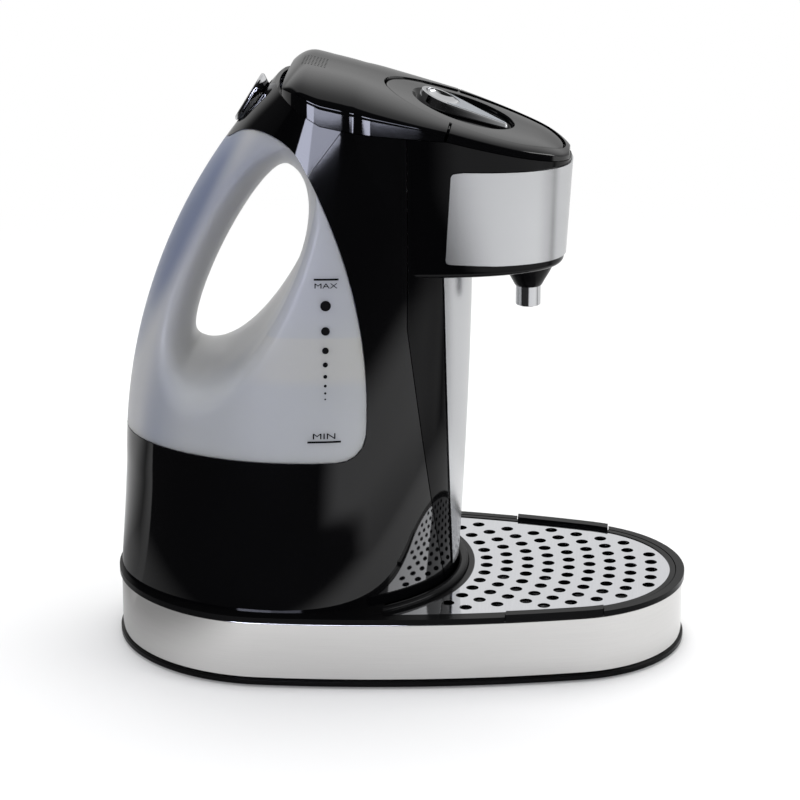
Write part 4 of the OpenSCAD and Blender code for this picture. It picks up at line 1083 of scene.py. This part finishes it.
# Steel wrap round the head and splash sheet down the column
PANEL_X, PANEL_Z, PANEL_R, PANEL_LEAN = 25.8, 214.2, 2.4, 2.6
WRAP_LOW, WRAP_HIGH, WRAP_OUT, WRAP_IN = 211.0, 270.0, 0.85, 0.15
wrap = head_solid(-WRAP_OUT, WRAP_LOW, WRAP_HIGH, 240, 24)
carve(wrap, head_solid(-WRAP_IN, WRAP_LOW - 1, WRAP_HIGH + 1, 240, 24))
upper_corner = (PANEL_X + PANEL_LEAN + PANEL_R, PANEL_TOP + PANEL_LEAN - PANEL_R)
lower_corner = (PANEL_X + PANEL_R, PANEL_Z + 3 + PANEL_R)
carve(wrap, side_cut([(AHEAD, PANEL_TOP - 2), (PANEL_X + 9, PANEL_TOP + 3)]
                     + arc(upper_corner, PANEL_R, math.pi / 2, math.pi, 12)
                     + arc(lower_corner, PANEL_R, math.pi, math.radians(266), 12)
                     + [(PANEL_X + 26, PANEL_Z + 1), (AHEAD, PANEL_Z - 1.6)]), "INTERSECT")
wrap.name = "head_wrap"
dress(wrap, "body", SHEET_STEEL, "steel", "head_panel", bevel=0.3)

SPLASH_W, SPLASH_TURN_Z, SPLASH_TURN_R = 31.0, 190.0, 170.0
SPLASH_LOW, SPLASH_HIGH, SPLASH_GAP, SPLASH_T = Z_DECK + 6, HEAD_Z - 0.4, 0.15, 0.7


def splash_half(z):
    return SPLASH_W * math.sqrt(1 - (max(0.0, SPLASH_TURN_Z - z) / SPLASH_TURN_R) ** 2)


def splash_place(u, v):
    z = SPLASH_LOW + (SPLASH_HIGH - SPLASH_LOW) * v
    y = splash_half(z) * (2 * u - 1)
    m = tower_mid(z)
    x = m + (tower_front(z) - m) * ellipse(y / tower_half(z), 2)
    return x + SPLASH_GAP, y, z


splash = thicken(mapped_grid("splash_sheet", 36, 90, splash_place), SPLASH_T, 1.0)
dress(splash, "body", SHEET_STEEL, "steel", "splash_panel", bevel=0.2)


# Spout
TUBE_R, TUBE_BORE, TUBE_TOP = SPOUT_D / 2, SPOUT_D / 2 - 1, 217.0
CONE_LOW, CONE_TOP = HEAD_Z - CONE_H, HEAD_Z - 0.1
NOZZLE = [(TUBE_R, CONE_LOW + 0.2), (TUBE_R + 0.3, CONE_LOW), (TUBE_R + 0.7, CONE_LOW + 0.4),
          (8.9, CONE_LOW + 3.6), (10.9, CONE_LOW + 7.0), (12.7, CONE_LOW + 10.6),
          (13.8, CONE_LOW + 12.8), (CONE_R, CONE_TOP), (TUBE_R, CONE_TOP)]
cone = spun("spout_nozzle", NOZZLE, SPOUT_X, 0)
dress(cone, "body", SATIN_BLACK, "gloss_black", "spout_cone")
PIPE_LOW = CONE_LOW - SPOUT_LOW
PIPE = [(TUBE_BORE, TUBE_TOP), (TUBE_BORE, PIPE_LOW + 0.3), (TUBE_R - 0.8, PIPE_LOW),
        (TUBE_R - 0.3, PIPE_LOW), (TUBE_R, PIPE_LOW + 0.3), (TUBE_R, TUBE_TOP),
        (TUBE_BORE, TUBE_TOP)]
tube = spun("spout_pipe", PIPE, SPOUT_X, 0)
dress(tube, "body", POLISHED_STEEL, "steel", "spout_tube")


# Base: lower rim, steel band, deck
rim_low = prism("low_rim", base_outline(0.0), Z_PLATE, Z_BAND)
screws = [(x, side * y, Z_PLATE) for x, y in ((-118, 42), (108, 34)) for side in (1, -1)]
carve(rim_low, rods("screw_rooms", screws, 3.7, 4.0, UPRIGHT))
dress(rim_low, "body", SATIN_BLACK, "gloss_black", "bottom_plate", bevel=0.8, segments=4, angle=50)

BAND_BACK, BAND_LOW, BAND_HIGH = BAND_IN + BAND_T, Z_BAND + 0.05, Z_RIM - 0.05
GLAND_Z, GLAND_R = 16.5, 5.8
band = swept("steel_band", [(BAND_IN + 0.3, BAND_LOW), (BAND_IN + 0.05, Z_BAND + 0.3),
                            (BAND_IN, Z_BAND + 1.0), (BAND_IN, (Z_BAND + Z_RIM) / 2),
                            (BAND_IN, Z_RIM - 1.0), (BAND_IN + 0.05, Z_RIM - 0.3),
                            (BAND_IN + 0.3, BAND_HIGH), (BAND_BACK, BAND_HIGH),
                            (BAND_BACK, BAND_LOW)])
carve(band, rods("gland_room", [(-BASE_L / 2, 0, GLAND_Z)], GLAND_R, 24.0, ALONG_X, 48))
dress(band, "body", BAND_STEEL, "steel", "base_band", angle=50)

WELL_IN, WELL_FLOOR, WELL_T, WELL_CLEAR = 4.4, 20.8, 1.6, 60.0
FINE, TRAY_REAR_X, TRAY_MID_X = 900, -20, 40.0


def tray_outline(inset):
    """Outline of the tray's room: the base's oval in front of the ring round the column."""
    r = RING_R + inset
    ahead = [p for p in base_outline(WELL_IN + inset, FINE)
             if p[0] > TRAY_REAR_X and math.hypot(p[0] - RING_X, p[1]) > r]
    ahead.sort(key=lambda p: math.atan2(p[1], p[0] - TRAY_MID_X))
    a = math.atan2(ahead[-1][1], ahead[-1][0] - RING_X)
    return ahead + arc((RING_X, 0), r, a, -a, 72)


TAB_X0, TAB_X1, TAB_IN, TAB_GAP, TAB_PAST = 59.5, 109.5, 5.6, 0.4, 9


def rim_strip(name, inset, x0, x1, low, high, side):
    """A length of the rim on one side, from an inset to the tabs' inner edge."""
    outer, inner = [sorted(p for p in base_outline(edge, FINE)
                           if x0 - TAB_PAST < p[0] < x1 + TAB_PAST and p[1] * side > 0)
                    for edge in (inset, TAB_IN)]
    piece = prism(name, outer + inner[::-1], low, high)
    return carve(piece, block("ends", x0, x1, -ASIDE, ASIDE, 0, WELL_CLEAR), "INTERSECT")


BELLY_R, BELLY_LOW, RING_LOW, RING_REAR_X = 73.1, 20.0, Z_RIM + 0.5, -4
RING_PROFILE = [(5.0, RING_LOW), (5.0, 40.2), (4.2, 41.1), (3.2, 41.4), (1.6, 41.4), (0.6, 41.0),
                (0.05, 40.0), (0.05, RING_LOW), (5.0, RING_LOW)]
deck = prism("deck", base_outline(0.0), Z_RIM, Z_DECK)
carve(deck, prism("well_walls", tray_outline(-WELL_T), WELL_FLOOR - WELL_T, RING_LOW), "UNION")
carve(deck, prism("well", tray_outline(0.0), WELL_FLOOR, WELL_CLEAR))
carve(deck, prism("belly", circle((TOWER_X, 0), BELLY_R, 96), BELLY_LOW, WELL_CLEAR))
ring = spun("foot_ring", [(RING_R - inset, z) for inset, z in RING_PROFILE], RING_X, 0, 240)
front_only = block("front_only", RING_REAR_X, FAR, -ASIDE, ASIDE, BELLY_LOW, WELL_CLEAR)
carve(ring, front_only, "INTERSECT")
carve(ring, prism("inside", base_outline(WELL_IN), BELLY_LOW, WELL_CLEAR), "INTERSECT")
carve(deck, ring, "UNION")
for side in (-1, 1):
    x0, x1 = TAB_X0 - TAB_GAP, TAB_X1 + TAB_GAP
    carve(deck, rim_strip("tab_room", -1.0, x0, x1, Z_RIM, WELL_CLEAR, side))
dress(deck, "body", SATIN_BLACK, "gloss_black", "base_deck", bevel=0.6, segments=3, angle=40)

TRAY_IN, TRAY_T, TRAY_LOW, TRAY_FLOOR = 0.4, 3.0, 21.1, 22.7


def make_tray():
    piece = prism("tray_body", tray_outline(TRAY_IN), TRAY_LOW, Z_DECK - 0.2)
    carve(piece, prism("hollow", tray_outline(TRAY_IN + TRAY_T), TRAY_FLOOR, WELL_CLEAR))
    for side in (-1, 1):
        tab = rim_strip("tab", 0.0, TAB_X0, TAB_X1, Z_RIM + 0.3, Z_DECK + 1.3, side)
        carve(piece, tab, "UNION")
    return dress(piece, "tray", SATIN_BLACK, "gloss_black", "drip_tray", bevel=0.5, segments=3,
                 angle=40)


make_tray()

DRAIN_ROWS = [11, 12, 11, 10, 11, 10, 9, 8, 5]
DRAIN_R, DRAIN_STEP, DRAIN_PITCH, DRAIN_D = 99.9, 11.0, 11.2, 6.6
GRILLE_TOP, GRILLE_T = 38.2, 1.2


def make_grille():
    piece = prism("grille_plate", tray_outline(TRAY_IN + TRAY_T), GRILLE_TOP - GRILLE_T, GRILLE_TOP)
    drains = []
    for k, count in enumerate(DRAIN_ROWS):
        r = DRAIN_R + k * DRAIN_STEP
        for j in range(count):
            y = (j - (count - 1) / 2) * DRAIN_PITCH
            drains.append((RING_X + math.sqrt(r * r - y * y), y, GRILLE_TOP - GRILLE_T / 2))
    carve(piece, rods("drains", drains, DRAIN_D / 2, 4.0, UPRIGHT, 28))
    return dress(piece, "grille", GRILLE_STEEL, "steel", "drip_grille", bevel=0.25, segments=2,
                 angle=40)


make_grille()


# Level marks printed on the tank's near side
def mark_piece(name, bm):
    """Lays flat marks on the tank and gives the ink its thickness."""
    for v in bm.verts:
        x, z = v.co.x / MM, v.co.z / MM
        v.co = Vector((x, -tower_side(x, z) - MARK_LIFT, z)) * MM
    piece = thicken(new_piece(name, bm), MARK_T, 0.0)
    return dress(piece, "body", MARK_INK, "tank_plastic")


def flat_bar(bm, x0, x1, z0, z1):
    grid = bmesh.ops.create_grid(bm, x_segments=16, y_segments=1, size=0.5)["verts"]
    for v in grid:
        v.co = Vector((x0 + (x1 - x0) * (v.co.x + 0.5), 0, z0 + (z1 - z0) * (v.co.y + 0.5))) * MM


# Dots by height and radius, the space between them closing downwards
MARK_X, MARK_T, MARK_LIFT, CAPITAL = -34.0, 0.05, 0.06, 0.7
DOTS = [(199.0, 2.7), (186.0, 2.2), (176.0, 1.7), (168.7, 1.3), (162.6, 1.0), (157.8, 0.75),
        (154.0, 0.6), (150.9, 0.45)]


def make_marks():
    bm = bmesh.new()
    flat_bar(bm, -40.0, -27.5, 212.0, 213.0)
    flat_bar(bm, -43.0, -26.0, 128.1, 129.1)
    for z, r in DOTS:
        disc = bmesh.ops.create_circle(bm, cap_ends=True, segments=28, radius=r * MM)["verts"]
        for v in disc:
            v.co = Vector((v.co.x + MARK_X * MM, 0, v.co.y + z * MM))
    mark_piece("level_marks", bm)


def word(name, text, x, z, height, stretch):
    """A word in capitals of a height, laid on the tank."""
    curve = bpy.data.curves.new(name, "FONT")
    curve.body = text
    curve.align_x = "CENTER"
    curve.size = height / CAPITAL * MM
    holder = bpy.data.objects.new(name, curve)
    bpy.context.scene.collection.objects.link(holder)
    mesh = bpy.data.meshes.new_from_object(
        holder.evaluated_get(bpy.context.evaluated_depsgraph_get()))
    bpy.data.objects.remove(holder)
    bm = bmesh.new()
    bm.from_mesh(mesh)
    bmesh.ops.subdivide_edges(bm, edges=bm.edges, cuts=1)
    for v in bm.verts:
        v.co = Vector((v.co.x * stretch + x * MM, 0, v.co.y + z * MM))
    mark_piece(name, bm)


make_marks()
word("word_full", "MAX", MARK_X, 208.0, 2.6, 1.5)
word("word_low", "MIN", MARK_X - 0.5, 130.2, 3.0, 1.6)


# Finishes of the pieces that keep their CAD shape
FINISH_OF = {
    RUBBER: ["feet", "lid_seal", "spout_seal", "cord_gland"],
    PALE_HOSE: ["inlet_hose", "feed_hose", "outlet_hose"],
    INNER_PLASTIC: ["tank_outlet", "outlet_filter", "tank_shelf", "mouth_frame", "dose_switch",
                    "lid_latch", "boiler_legs", "thermostat", "pump", "pump_cradle", "board_posts"],
    BOARD_GREEN: ["control_board"],
    SATIN_BLACK: ["hinge_pins"],
    BARE_STEEL: ["boiler", "boiler_cover", "heating_element", "bottom_screws", "button_spring",
                 "board_screws", "knob_shaft"],
}
for material, names in FINISH_OF.items():
    for name in names:
        nodes[name].data.materials.clear()
        nodes[name].data.materials.append(material)

bpy.context.scene.view_settings.view_transform = "Standard"

bpy.context.view_layer.update()
